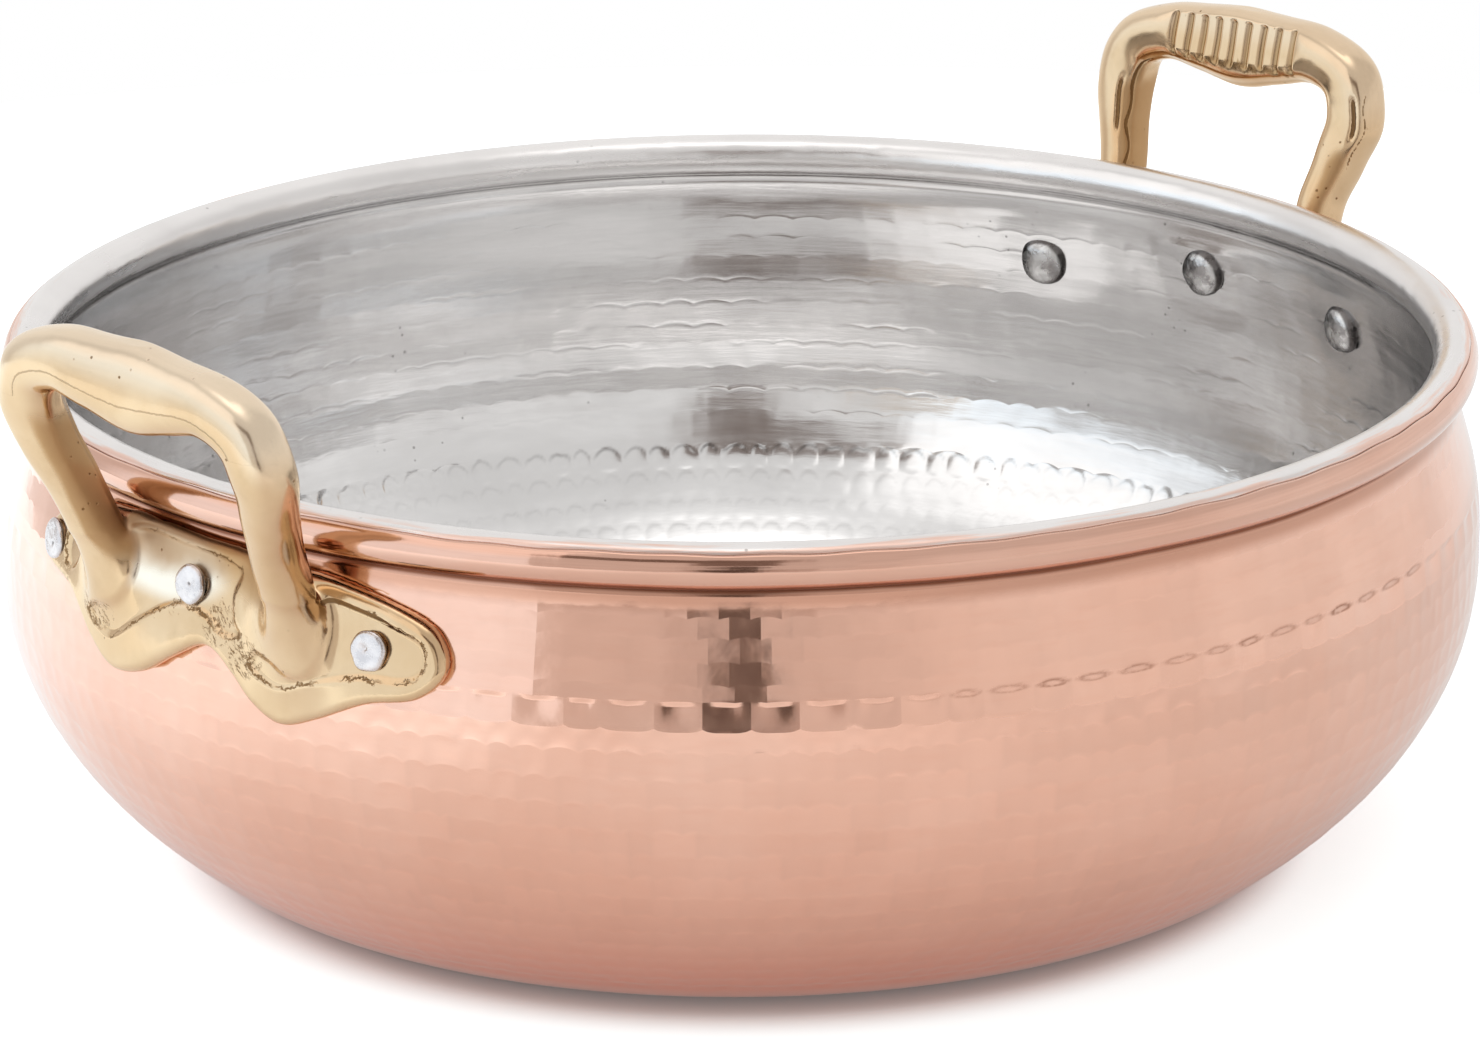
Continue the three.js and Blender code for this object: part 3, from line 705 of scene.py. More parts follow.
def copper_bowl(material):
    profile = outer_profile()
    rows = outer_rows(profile)
    top = profile.length[-1]
    (lengths, points, depths, tones, lines), borders, owner = hammered(profile, rows, [top])
    theta = ring_theta(COPPER_COLUMNS)
    fade = np.clip((top - lengths) / 2.0, 0, 1) * np.clip((lengths - lengths[0].min()) / 3.0, 0, 1)
    depths = depths + 0.045 * waves(theta, lengths, 21, 6, 40, 18) - 0.08
    wall = sunk_wall(profile, lengths, points, np.minimum(depths, -0.01) * fade)

    # the flat base, from the axis out to the wall's foot
    edge = profile.at(np.linspace(0.05, lengths[0, 0], 7)[:-1])
    base = np.linspace(0.05, 1, 26) * (BASE_R - 0.2)
    foot_r = np.r_[base, edge[:, 0]][:, None]
    foot_z = np.r_[np.zeros(len(base)), edge[:, 1]][:, None]
    dimple = 0.10 * (1 + waves(theta, foot_r * 2.0, 31, 3, 40, 16)).clip(0, 2.5)
    foot_z = foot_z + dimple * np.clip((BASE_R - 2 - foot_r) / 8, 0, 1)

    sections = [(foot_r, foot_z), wall, *copper_bead(theta), hidden_face(COPPER_T, 40)]
    obj = lathed("bowl_shell", material, COPPER_COLUMNS, sections, (foot_z[0].mean(), COPPER_T))
    first, top = len(foot_r), len(rows)
    # tone with painted shading, and painted shade lines round the marks
    for name, values in (("tone", tones), ("line", lines)):
        set_rings(obj.data, name, COPPER_COLUMNS, first, values * fade)
    sharpen(obj.data, first, rows, borders, owner, range(6, top + 1), range(top - 6, top))
    return obj


def floor_marks(radius, theta, pitch=5.6):
    """Depth of the round hammer marks on the dish's floor."""
    depth = np.zeros(np.broadcast(radius, theta).shape)
    for k in range(1, 19):
        centre = k * pitch
        count = max(6, int(2 * math.pi * centre / pitch))
        cell = theta / (2 * math.pi) * count + (k * 0.37) % 1.0
        along = (cell - np.floor(cell) - 0.5) * 2 * math.pi * centre / count
        index = np.floor(cell).astype(int) % count
        jitter = np.random.default_rng(700 + k).uniform(0.5, 1.0, count)[index]
        cup = 1 - (along ** 2 + (radius - centre) ** 2) / 11.0
        depth = np.maximum(depth, np.clip(cup, 0, 1) * jitter)
    return depth


def tin_bead(theta, steps):
    """The tin's face over the bead, from the neck to its edge."""
    crease = 2 * math.pi - math.acos((NECK_R - TIN_SEAT - TIN_T - BEAD_CR) / BEAD_R)
    end = TIN_EDGE + math.radians(2) + border_wobble(theta)
    angle = crease + (end - crease) * steps
    dent = np.clip(0.05 * waves(theta, angle * 14, 71, 5, 120, 30), 0, 0.2) * np.sin(math.pi * steps)
    radius = BEAD_R - 0.25 * np.clip((steps - 0.93) / 0.07, 0, 1) ** 2 - dent
    back = end + (crease - end) * np.linspace(0, 1, 16)[:, None]
    return on_bead(radius, angle), on_bead(BEAD_R - TIN_T, back)


def tin_lining(material):
    profile = inner_profile()
    rows = inner_rows(profile)
    (lengths, points, depths, _, lines), borders, owner = hammered(profile, rows)
    theta = ring_theta(TIN_COLUMNS)
    depths = np.minimum(depths + 0.05 * waves(theta, lengths, 61, 5, 30, 18), 0.36)
    for ring in borders[5:]:
        # a fine ridge where two rows of marks meet
        depths[ring] -= 0.055 * np.clip(0.3 + waves(theta, 0.0, 400 + ring, 2, 26, 9), 0, 1)
    depths = depths * np.clip((lengths - lengths[0].min()) / 3.0, 0, 1)
    wall_r, wall_z = sunk_wall(profile, lengths, points, depths)
    # the wall is pulled in a little round each rivet
    for turn in (0, math.pi):
        for across, rise in RIVETS:
            y, z = tilted(across, rise)
            gap = (theta - math.asin(y / PLATE_R) - turn + math.pi) % (2 * math.pi) - math.pi
            far = np.hypot(gap * wall_r, wall_z - z)
            wall_r = wall_r - 0.45 * bell(far, 0, 8.5) + 0.18 * bell(far, 13, 5.0)

    edge_r, floor_h = profile.points[0]
    floor_r = np.linspace(0.05, 1, 44)[:, None] * edge_r
    floor_z = floor_h - 0.14 * floor_marks(floor_r, theta) * np.clip((edge_r - floor_r) / 5.0, 0, 1)
    low = profile.at(np.linspace(0, lengths[0, 0], 6)[1:-1])
    neck = profile.at(np.linspace(lengths[-1], profile.length[-1], 5)[1:])
    steps = np.linspace(0, 1, 34)[:, None]
    bead, back = tin_bead(theta, steps)
    hidden = hidden_face(TIN_SEAT, 60)
    sections = [(floor_r, floor_z), (low[:, :1], low[:, 1:]), (wall_r, wall_z), (neck[..., 0], neck[..., 1]),
                bead, back, hidden]
    obj = lathed("lining_skin", material, TIN_COLUMNS, sections, (floor_h, TIN_SEAT), inwards=True)

    first = len(floor_r) + len(low)
    worn = np.r_[np.clip((steps[:, 0] - 0.70) / 0.30, 0, 1), np.ones(len(back[0]) + len(hidden[0]))]
    bead_at = first + len(lengths) + len(neck)
    set_rings(obj.data, "worn", TIN_COLUMNS, bead_at, np.repeat(worn, TIN_COLUMNS))
    # painted shade lines on the round marks
    set_rings(obj.data, "line", TIN_COLUMNS, first, lines)
    sharpen(obj.data, first, rows, borders, owner, range(5, len(rows)), ())
    return obj


# Handles

# The plate's outline, as shares of its half width and height
OUTLINE_SHARES = [
    (0.106, 0.386), (0.219, 0.273), (0.319, 0.113), (0.429, 0.031), (0.566, 0.119), (0.748, 0.287),
    (0.922, 0.382), (1, 0.56), (0.958, 0.765), (0.785, 0.901), (0.547, 0.976), (0.219, 1), (-0.219, 1),
    (-0.547, 0.95), (-0.70, 0.865), (-0.82, 0.76), (-0.875, 0.60), (-0.82, 0.44), (-0.62, 0.345),
    (-0.493, 0.13), (-0.365, 0), (-0.219, 0.055), (-0.064, 0.232),
]
# The sunk fields' outlines and the spots of torn skin, across and up the plate, with the spots' sizes
FIELDS = [
    [(31, 25.2), (37.8, 24.8), (46, 22.6), (50.4, 20.8), (51.4, 17.4), (49.2, 14.4), (40.3, 13.1), (30, 10.6),
     (23.3, 8.4), (16.6, 11), (17.5, 13.6), (22.8, 13.3), (28.7, 15.8), (31.9, 20.5)],
    [(-15.2, 27.4), (-1.3, 28.0), (8, 27.5), (12.4, 26.2), (11, 22), (12, 18), (14, 15.5), (10.1, 14.5),
     (4.8, 16.6), (-3, 17.0), (-11.1, 12.6), (-20.4, 6.6), (-26.5, 9.2), (-21.5, 13.8), (-19.2, 18.5),
     (-20.5, 24.0)],
    [(-36.0, 22.0), (-34.2, 21.6), (-33.2, 18.5), (-34.0, 15.4), (-36.2, 14.0), (-38.5, 16.0), (-38.8, 20.0)],
]
TORN = [(-23.5, 11.5, 6.5), (8.5, 16.2, 5.5), (15.5, 12.0, 5.5), (-37.5, 12.5, 3.5), (-3.0, 16.5, 2.5)]
# The legs' roots on the plate: middle and half width
ROOTS = [(-25.0, 9.5), (21.8, 11.2)]
# Stations of the loop from foot to grip: across, rise, lean, width and depth, as shares
STATION_SHARES = [
    (0.737, 0, 0.013, 0.595, 0.407), (0.757, 0.138, 0.039, 0.81, 0.61),
    (0.789, 0.276, 0.052, 0.75, 0.78), (0.836, 0.414, 0.208, 0.56, 0.814),
    (0.875, 0.552, 0.429, 0.536, 0.847), (0.947, 0.69, 0.662, 0.607, 0.881),
    (1, 0.824, 0.844, 0.714, 0.915), (0.921, 0.952, 0.942, 0.69, 0.949),
    (0.641, 1.014, 0.987, 0.702, 0.966), (0.312, 1.01, 1, 0.857, 0.983),
]
LEG_OFFSET, LOOP_HALF, LOOP_FOOT, LOOP_H, LOOP_LEAN = 2.6, 30.4, 4.4, 58.0, 15.4
CROWN_W, CROWN_D = 8.4, 5.9
# On the right handle's legs. Slits: side, angle round the leg, from and to height, half width, depth, wander
SLITS = [(-1, 124.0, 107.0, 115.0, 4.5, 0.7, 0.0), (-1, 145.0, 101.0, 116.0, 1.6, 0.1, 5.0),
         (1, 62.0, 99.0, 109.0, 5.0, 0.7, 0.0), (1, 38.0, 84.0, 113.0, 3.5, 0.35, 6.0)]
# Rust: strength, side, angle round the leg, half width, and the heights where it ends and is full
RUST = [(0.75, 1, 28.0, 16.0, 115, 110), (0.6, 1, 62.0, 26.0, 108, 98), (1.1, -1, 118.0, 26.0, 109, 101)]
# Half the gap between the legs, the heights of the grip's foot and middle, and the part's box
LEG_GAP, GRIP_FOOT, GRIP_H = 14, 105, 120.4
BOX_X, BOX_Z = 162.45, 126.9


def tilted(across, rise):
    """From plate coordinates to the handle's own Y and Z, in millimetres."""
    up = rise - TURN_RISE
    y = across * math.cos(TILT) + up * math.sin(TILT)
    return y, PLATE_FOOT + TURN_RISE + up * math.cos(TILT) - across * math.sin(TILT)


def untilted(y, z):
    up = z - PLATE_FOOT - TURN_RISE
    return y * math.cos(TILT) - up * math.sin(TILT), y * math.sin(TILT) + up * math.cos(TILT) + TURN_RISE


def plate_outline(steps):
    return spline(np.array(OUTLINE_SHARES) * (PLATE_HALF, PLATE_H), steps)


def leg_swell(across, rise):
    """How far the legs' roots stand out of the plate's face."""
    total = 0
    for centre, half in ROOTS:
        far = np.hypot((across - centre) / half, (np.minimum(rise, 25.0) - 25.0) / 12.6)
        total = np.maximum(total, 3.6 * smoothstep(1.0, 0.1, far))
    return total


def plate_mesh(grid_step=0.8):
    """The plate as a closed body: its face, its back and its side."""
    outline = plate_outline(8)
    across, rise = (np.arange(*ends, grid_step) for ends in zip(outline.min(0), outline.max(0)))
    grid = np.stack(np.meshgrid(across, rise), -1).reshape(-1, 2)
    grid = grid[polygon_distance(grid, outline) > 0.35]
    flat = [Vector(p) for p in np.vstack([outline, grid]).tolist()]
    count = len(outline)
    verts, _, tris, *_ = delaunay_2d_cdt(flat, [(i, (i + 1) % count) for i in range(count)], [], 1, 1e-4)
    points = np.array([tuple(v) for v in verts])
    inset = np.maximum(polygon_distance(points, outline), 0)
    thick = PLATE_T - 1.3 * (1 - np.minimum(inset / 1.5, 1)) ** 2
    y, z = tilted(*points.T)
    bearing = np.arcsin(y / PLATE_R)
    back = wall_radius(z) + SEAT_GAP
    front = back + thick + leg_swell(*points.T) * smoothstep(0, 3, inset)
    shell = [np.stack([r * np.cos(bearing), r * np.sin(bearing), z], 1) for r in (front, back)]
    n = len(points)
    faces = [tuple(t) for t in tris] + [tuple(i + n for i in reversed(t)) for t in tris]
    sides = {(a, b) for t in tris for a, b in zip(t, (*t[1:], t[0]))}
    faces += [(b, a, a + n, b + n) for a, b in sorted(sides) if (b, a) not in sides]
    return np.vstack(shell), faces


def loop_line(skew):
    """Centre line, half width and half depth along the loop, left to right."""
    left = [(-a, *others) for a, *others in STATION_SHARES]
    rows = np.array(left + [(0, 1, 1, 1, 1)] + STATION_SHARES[::-1], float)
    rise = LOOP_FOOT + rows[:, 1] * LOOP_H
    y, z = tilted(rows[:, 0] * LOOP_HALF + LEG_OFFSET, rise)
    y = y + skew * np.clip((rise - TURN_RISE) / 20.0, 0, 1)
    depth = rows[:, 4] * (0.4 + 0.6 * smoothstep(6.0, 22.0, rise)) * CROWN_D
    line = np.stack([BELLY_R + rows[:, 2] * LOOP_LEAN, y, z, rows[:, 3] * CROWN_W, depth], 1)
    return spline(line, 9, closed=False)


def loop_ways(line):
    """Directions across the loop at each place on its line: out of the dish, and in its plane."""
    tangent = np.gradient(line[:, :3], axis=0)
    tangent /= np.linalg.norm(tangent, axis=1)[:, None]
    depth_way = np.array([1.0, 0, 0]) - tangent * tangent[:, :1]
    depth_way /= np.linalg.norm(depth_way, axis=1)[:, None]
    return depth_way, np.cross(tangent, depth_way)


def loop_mesh(line, sides=32):
    """The loop as a closed body of squarish rings."""
    depth_way, width_way = loop_ways(line)
    theta = ring_theta(sides)
    along, out = (np.sign(c) * np.abs(c) ** 0.8 for c in (np.cos(theta), np.sin(theta)))
    rings = (line[:, None, :3]
             + width_way[:, None] * (line[:, 3] * 0.975)[:, None, None] * along[:, None]
             + depth_way[:, None] * (line[:, 4] * 0.985)[:, None, None] * out[:, None])
    last = (len(line) - 1) * sides
    ends = [range(sides), range(last + sides - 1, last - 1, -1)]
    return rings.reshape(-1, 3), ring_faces(len(line), sides)[:, ::-1].tolist() + ends


def remeshed(name, bodies, voxel=0.42):
    """One skin over several closed bodies."""
    verts, faces = [], []
    for body_verts, body_faces in bodies:
        faces += [tuple(int(i) + len(verts) for i in face) for face in body_faces]
        verts += list(body_verts)
    obj = new_object(name, verts, faces, None)
    bm = bmesh.new()
    bm.from_mesh(obj.data)
    bmesh.ops.recalc_face_normals(bm, faces=bm.faces)
    bm.to_mesh(obj.data)
    bm.free()
    modifier = obj.modifiers.new("skin", "REMESH")
    modifier.mode = "VOXEL"
    modifier.voxel_size = voxel * MM
    modifier.adaptivity = 0.0
    depsgraph = bpy.context.evaluated_depsgraph_get()
    made = bpy.data.meshes.new_from_object(obj.evaluated_get(depsgraph))
    old = obj.data
    bpy.data.objects.remove(obj)
    bpy.data.meshes.remove(old)
    made.name = name
    return made


def clear_of_bowl(points, gap):
    """Moves points out of the bowl's wall and bead, with a gap."""
    radius = np.hypot(points[:, 0], points[:, 1])
    scale = points[:, :2] / radius[:, None]
    z = points[:, 2]
    wall = wall_radius(np.clip(z, 0, NECK_H)) + gap
    radius = np.where((z < NECK_H + 3) & (radius < wall), wall, radius)
    dr, dz = radius - BEAD_CR, z - BEAD_CH
    far = np.hypot(dr, dz)
    near = far < BEAD_R + gap
    push = np.where(near, (BEAD_R + gap) / np.maximum(far, 1e-6), 1)
    radius = np.where(near, BEAD_CR + np.maximum(dr, 0.05) * push, radius)
    return np.column_stack([scale * radius[:, None], np.where(near, BEAD_CH + dz * push, z)])


class Casting:
    """One handle: plate and loop in one skin, with sunk fields, ridges and marks."""

    def __init__(self, name, skew, seed):
        self.skew, self.seed = skew, seed
        self.line = loop_line(skew)
        self.mesh = remeshed(name, [plate_mesh(), loop_mesh(self.line)])
        self.points = read_items(self.mesh.vertices, "co", 3) / MM
        self.edges = read_items(self.mesh.edges, "vertices", 2, np.int64)
        self.count = np.bincount(self.edges.ravel(), minlength=len(self.points)).astype(float)
        self.blend_roots()
        self.find_places()
        self.cut_grip()
        self.cut_slits()
        self.rusty = self.rust()
        self.sink_fields()
        self.roughen()

    def averaged(self, values):
        """The mean of each point's neighbours."""
        one, other = self.edges.T
        size = len(self.count)
        columns = []
        for value in values.reshape(size, -1).T:
            total = np.bincount(one, value[other], size) + np.bincount(other, value[one], size)
            columns.append(total / self.count)
        return np.stack(columns, 1).reshape(values.shape)

    def relax(self, share, times):
        for _ in range(times):
            self.points += share * (self.averaged(self.points) - self.points)

    def on_plate(self):
        """Where each point is, across and up the plate and out of its seat."""
        x, y, z = self.points.T
        radius = np.hypot(x, y)
        return *untilted(PLATE_R * y / radius, z), radius - wall_radius(z) - SEAT_GAP

    def blend_roots(self):
        """Rounds the skin, and runs the legs' roots out into the plate."""
        self.relax(0.55, 9)
        across, rise, stand = self.on_plate()
        inset = polygon_distance(np.stack([across, rise], 1), plate_outline(3))
        soft = smoothstep(94.0, 85.0, self.points[:, 2]) * smoothstep(1.0, 2.4, stand)
        soft = soft * smoothstep(1.6, 4.6, inset) * smoothstep(6.0, 12.0, np.abs(across + 1.6))
        self.relax((0.6 * soft)[:, None], 240)

    def find_places(self):
        """Where each point is along and round the loop."""
        centre = self.line[:, :3]
        best = np.full(len(self.points), 1e9)
        nearest = np.zeros(len(self.points), int)
        for i, c in enumerate(centre):
            d = ((self.points - c) ** 2).sum(1)
            closer = d < best
            best[closer] = d[closer]
            nearest[closer] = i
        depth_way, width_way = loop_ways(self.line)
        opening = np.array([*centre[:, :2].mean(0), 100.0])
        inward = np.sign(((opening - centre) * width_way).sum(1))[nearest]
        self.nearest, self.out = nearest, depth_way[nearest]
        self.half_width, self.half_depth = self.line[nearest, 3], self.line[nearest, 4]
        self.rel = self.points - centre[nearest]
        self.deep = (self.rel * self.out).sum(1) / self.half_depth
        self.inward = inward * (self.rel * width_way[nearest]).sum(1) / self.half_width
        self.turn = np.degrees(np.arctan2(-self.deep, self.inward))
        middle = tilted(LEG_OFFSET, LOOP_FOOT + LOOP_H - 0.4)[0] + self.skew
        self.middle = (self.points[:, 1] - middle) * math.cos(TILT)

    def cut_grip(self):
        """Ridges on the bowl's side of the grip, and a rounded line round the opening."""
        near, high = np.abs(self.middle), self.points[:, 2] > GRIP_FOOT
        up = self.points[:, 2] + self.middle * math.sin(TILT) - GRIP_H
        low_end = up + 0.5 * waves(self.middle / 8.0, 0.0, self.seed + 50, 8, 60, 8)
        on_grip = smoothstep(17.2, 16.2, near) * high
        above_foot = smoothstep(-4.6, -3.6, low_end)
        face = smoothstep(-0.3, -0.7, self.deep) * above_foot * smoothstep(5.0, 4.4, up)
        groove = (0.5 + 0.5 * np.cos(self.middle / 3.9 * 2 * math.pi)) ** 5
        proud = np.maximum(0.22 * up - (0.84 + self.deep) * self.half_depth, 0)
        plane = smoothstep(20.0, 13.5, near) * high * above_foot * proud
        foot = smoothstep(-2.6, -3.8, low_end) * smoothstep(-5.4, -4.6, low_end) * (self.deep < -0.2)
        opening = bell(self.turn, 38.0, 9.0) * (self.nearest > 14) * (self.nearest < len(self.line) - 14)
        self.points += (on_grip * face * groove * 1.05 + plane + 0.45 * opening)[:, None] * self.out
        # painted shade in the grooves, at the ridges' feet and along the opening's line
        self.dark = np.maximum(on_grip * np.maximum(face * groove ** 0.8, 0.9 * foot), 0.6 * opening)

    def cut_slits(self):
        """Open slits and dark lines left by the mould on the bowl's side of the legs."""
        self.slits = np.zeros(len(self.points))
        inwards = -self.rel / np.maximum(np.linalg.norm(self.rel, axis=1), 1e-6)[:, None]
        for side, at, low, high, half, cut, wander in SLITS if self.skew else []:
            z = self.points[:, 2]
            bend = wander * waves(z / 40.0, 0.0, self.seed + 70, 6, 40, 6)
            slit = bell(self.turn, at + bend, half) * (side * self.middle > LEG_GAP)
            slit = slit * smoothstep(low - 1.5, low + 1.5, z) * smoothstep(high + 1.5, high - 1.5, z)
            self.points += (cut * slit)[:, None] * inwards
            self.slits = np.maximum(self.slits, slit)

    def rust(self):
        """Brown casting skin inside the opening and low on the right handle's legs."""
        z = self.points[:, 2]
        rusty = smoothstep(0.25, 0.75, self.inward) * smoothstep(113, 104, z) * smoothstep(74, 84, z)
        for strength, side, at, half, end, full in RUST if self.skew else []:
            spot = bell(self.turn, at, half) * (side * self.middle > LEG_GAP) * smoothstep(end, full, z)
            rusty = np.maximum(rusty, strength * spot)
        return rusty

    def sink_fields(self):
        """Sinks the plate's fields, and finds their seams and the dark corner of the right one."""
        self.across, self.rise, stand = self.on_plate()
        a, q = self.across, self.rise
        self.face = smoothstep(1.6, 2.6, stand) * smoothstep(5.6, 4.6, stand) * (self.points[:, 2] < 88)
        self.seam = np.full(len(a), 9.0)
        corner = smoothstep(19.5, 21.5, q) * smoothstep(28.0, 30.0, a) * smoothstep(47.0, 40.0, a) * self.face
        on = self.face > 0
        sunk = np.zeros(len(a))
        for outline in FIELDS:
            inside = np.full(len(a), -9.0)
            inside[on] = polygon_distance(np.stack([a, q], 1)[on], spline(outline, 6))
            sunk += 0.75 * smoothstep(-0.5, 0.9, inside) * self.face
            here = np.where(self.face > 0.5, inside, 9.0)
            self.slits = np.maximum(self.slits, corner * bell(inside, 0.1, 0.55))
            self.seam = np.where(np.abs(here) < np.abs(self.seam), here, self.seam)
        self.points[:, :2] *= (1 - sunk / np.hypot(*self.points[:, :2].T))[:, None]

    def roughen(self):
        """Cast unevenness, kept clear of the bowl and inside the part's box."""
        r = np.random.default_rng(self.seed)
        for _ in range(14):
            way = r.normal(0, 1, 3)
            way /= np.linalg.norm(way)
            length = r.uniform(9, 26)
            shift = np.sin(self.points @ way * 2 * math.pi / length + r.uniform(0, 6.28))
            self.points += (0.028 * shift)[:, None] * r.normal(0, 1, 3)
        self.relax(0.3, 2)
        self.points = np.minimum(clear_of_bowl(self.points, SEAT_GAP), (BOX_X, np.inf, BOX_Z))
        self.mesh.vertices.foreach_set("co", (self.points * MM).ravel())
        self.mesh.update()

    def hollows(self):
        """Where the skin is hollow, 0 to 1."""
        normals = read_items(self.mesh.vertices, "normal", 3)
        hollow = ((self.averaged(self.points) - self.points) * normals).sum(1)
        for _ in range(6):
            hollow = 0.5 * hollow + 0.5 * self.averaged(hollow)
        return np.clip(hollow / 0.03, 0, 1)

    def paint(self):
        """Writes what the brass material reads."""
        a, q, z = self.across, self.rise, self.points[:, 2]
        torn = np.min([np.hypot(a - at, q - up) / size for at, up, size in TORN], axis=0)
        outside = (self.deep > 0.1) & (z > 112)
        # painted highlights: along the grip's top, and a patch on the plate between the legs
        grip = (0.26 if self.skew else 0.5) * smoothstep(0.0, 0.7, -self.inward) * smoothstep(106, 116, z)
        plate_highlight = self.face * smoothstep(1.0, 0.6, np.hypot((a + 7.5) / 18.0, (q - 24.0) / 8.5))
        values = dict(
            seam=self.seam, slit=self.slits, rusty=self.rusty, plate_across=a, plate_rise=q,
            torn=self.face * smoothstep(1.0, 0.3, torn),
            parting=np.where(outside, (self.inward - 0.25) * self.half_width, 9.0),
            painted_highlight=np.maximum(grip, plate_highlight),
            # painted shade in the hollows and grooves, kept off the plate's painted highlight
            cavity_shade=np.maximum(0.7 * self.hollows(), self.dark) * (1 - 0.75 * plate_highlight))
        for name, value in values.items():
            set_attribute(self.mesh, name, value)


def casting(name, turn, skew, material, seed):
    body = Casting(name, skew, seed)
    body.paint()
    body.mesh.transform(Matrix.Rotation(turn, 4, "Z"))
    return shown(body.mesh, material)


# Rivets

# Radius and height of the domed inner head and the beaten outer head, from the face each sits on
INNER_HEAD = [(0, -3.25), (1.2, -3.22), (2.4, -3.02), (3.5, -2.6), (4.35, -1.95), (4.85, -1.2),
              (5.05, -0.6), (4.9, -0.22), (2.55, -0.2)]
OUTER_HEAD = [(2.55, 0.25), (3.45, 0.32), (3.68, 0.7), (3.6, 1.15), (3.2, 1.5), (2.4, 1.64),
              (1.2, 1.69), (0, 1.7)]
RIVET_LIFT = math.radians(8)


def rivet(name, across, rise, turn, material, seed, sides=64):
    """A rivet with a beaten outer head, a shank and a domed inner head."""
    y, z = tilted(across, rise)
    wall = float(wall_radius(z))
    bearing = math.asin(y / wall)
    flat = math.cos(RIVET_LIFT)
    axis = Vector((flat * math.cos(bearing), flat * math.sin(bearing), math.sin(RIVET_LIFT)))
    point = Vector((wall * math.cos(bearing), y, z))
    inner_face, field_face = -TIN_SEAT - TIN_T, SEAT_GAP + PLATE_T - 0.8
    profile = np.vstack([np.add(INNER_HEAD, (0, inner_face)), np.add(OUTER_HEAD, (0, field_face))])
    fine = spline(profile, 4, closed=False)
    theta = ring_theta(sides)
    r = np.random.default_rng(seed)
    wobble = sum(r.normal(0, 0.05) / k * np.cos(k * theta + r.uniform(0, 6.28)) for k in range(2, 7))
    radius = np.maximum(fine[1:-1, :1], 0) * (1 + wobble)
    height = np.repeat(fine[1:-1, 1:], sides, 1)
    x, y = radius * np.cos(theta), radius * np.sin(theta)
    outside = height > 0
    for _ in range(7):
        cx, cy = r.uniform(-3, 3, 2)
        size, deep = r.uniform(0.8, 1.8), r.uniform(0.05, 0.16)
        dip = deep * bell(np.hypot(x - cx, y - cy), 0, size)
        height = height + np.where(outside, -dip, dip) * (radius > 0)
    cx, cy = r.uniform(-0.9, 0.9, 2)
    dimple = bell(np.hypot(x - cx, y - cy), 0, 0.4)
    height = height - 0.22 * dimple * (height > field_face + 1.2)
    obj = lathed(name, material, sides, [(radius, height)], fine[[0, -1], 1])
    # painted shade round the heads' rims, where they meet the sheet and the plate, and in the dimple
    rim = smoothstep(3.9, 4.8, radius) * (height < inner_face + 0.2)
    rim = rim + bell(radius, 3.6, 0.16) * (height < field_face + 1.0) * (height > 0)
    rim = rim + dimple * (height > field_face + 1.2)
    set_attribute(obj.data, "cavity_shade", np.r_[np.clip(rim, 0, 1).ravel(), 0, 0])
    set_attribute(obj.data, "worn", np.r_[(height < 0).ravel(), 1, 0])
    matrix = Matrix.Translation(point * MM) @ axis.to_track_quat("Z", "Y").to_matrix().to_4x4()
    obj.data.transform(Matrix.Rotation(turn, 4, "Z") @ matrix)
    return obj


# Studio

TENT_R, TENT_FOOT, FLOOR_R, FLOOR_Z = 2600, -24, 560, -0.05
# What the dish mirrors in the tent. Windows: turns where they fade in and out, then rises, in degrees
RIGHT_WINDOW = (8.0, 38.0, 120.0, 140.0), (-40.0, -35.0, 14.0, 30.0)
LEFT_WINDOW = (-112.0, -100.0, -30.5, -29.3), (-22.0, -8.0, 54.0, 64.0)
DARK_THINGS = {
    "column": (1.0, (-2.4, -2.2, 2.2, 2.4), (-14.0, -12.0, 17.0, 18.0)),
    "column's top": (0.8, (-8.0, -5.5, 5.5, 8.0), (18.0, 20.0, 36.0, 38.0)),
    "block": (1.0, (-4.2, -4.0, 4.0, 4.2), (9.5, 10.0, 13.0, 13.4)),
    "shelf": (1.0, (-5.8, -5.4, 2.4, 2.8), (-8.0, -7.0, 2.0, 3.0)),
    "beam": (0.8, (-33.0, -29.0, 7.0, 11.0), (31.5, 32.5, 43.0, 44.0)),
    "haze": (0.32, (-10.0, -7.0, 7.0, 12.0), (-8.0, -6.0, 2.0, 4.0)),
    "side": (0.14, (-11.0, -8.0, -3.0, 0.0), (3.0, 5.0, 16.0, 18.0)),
}


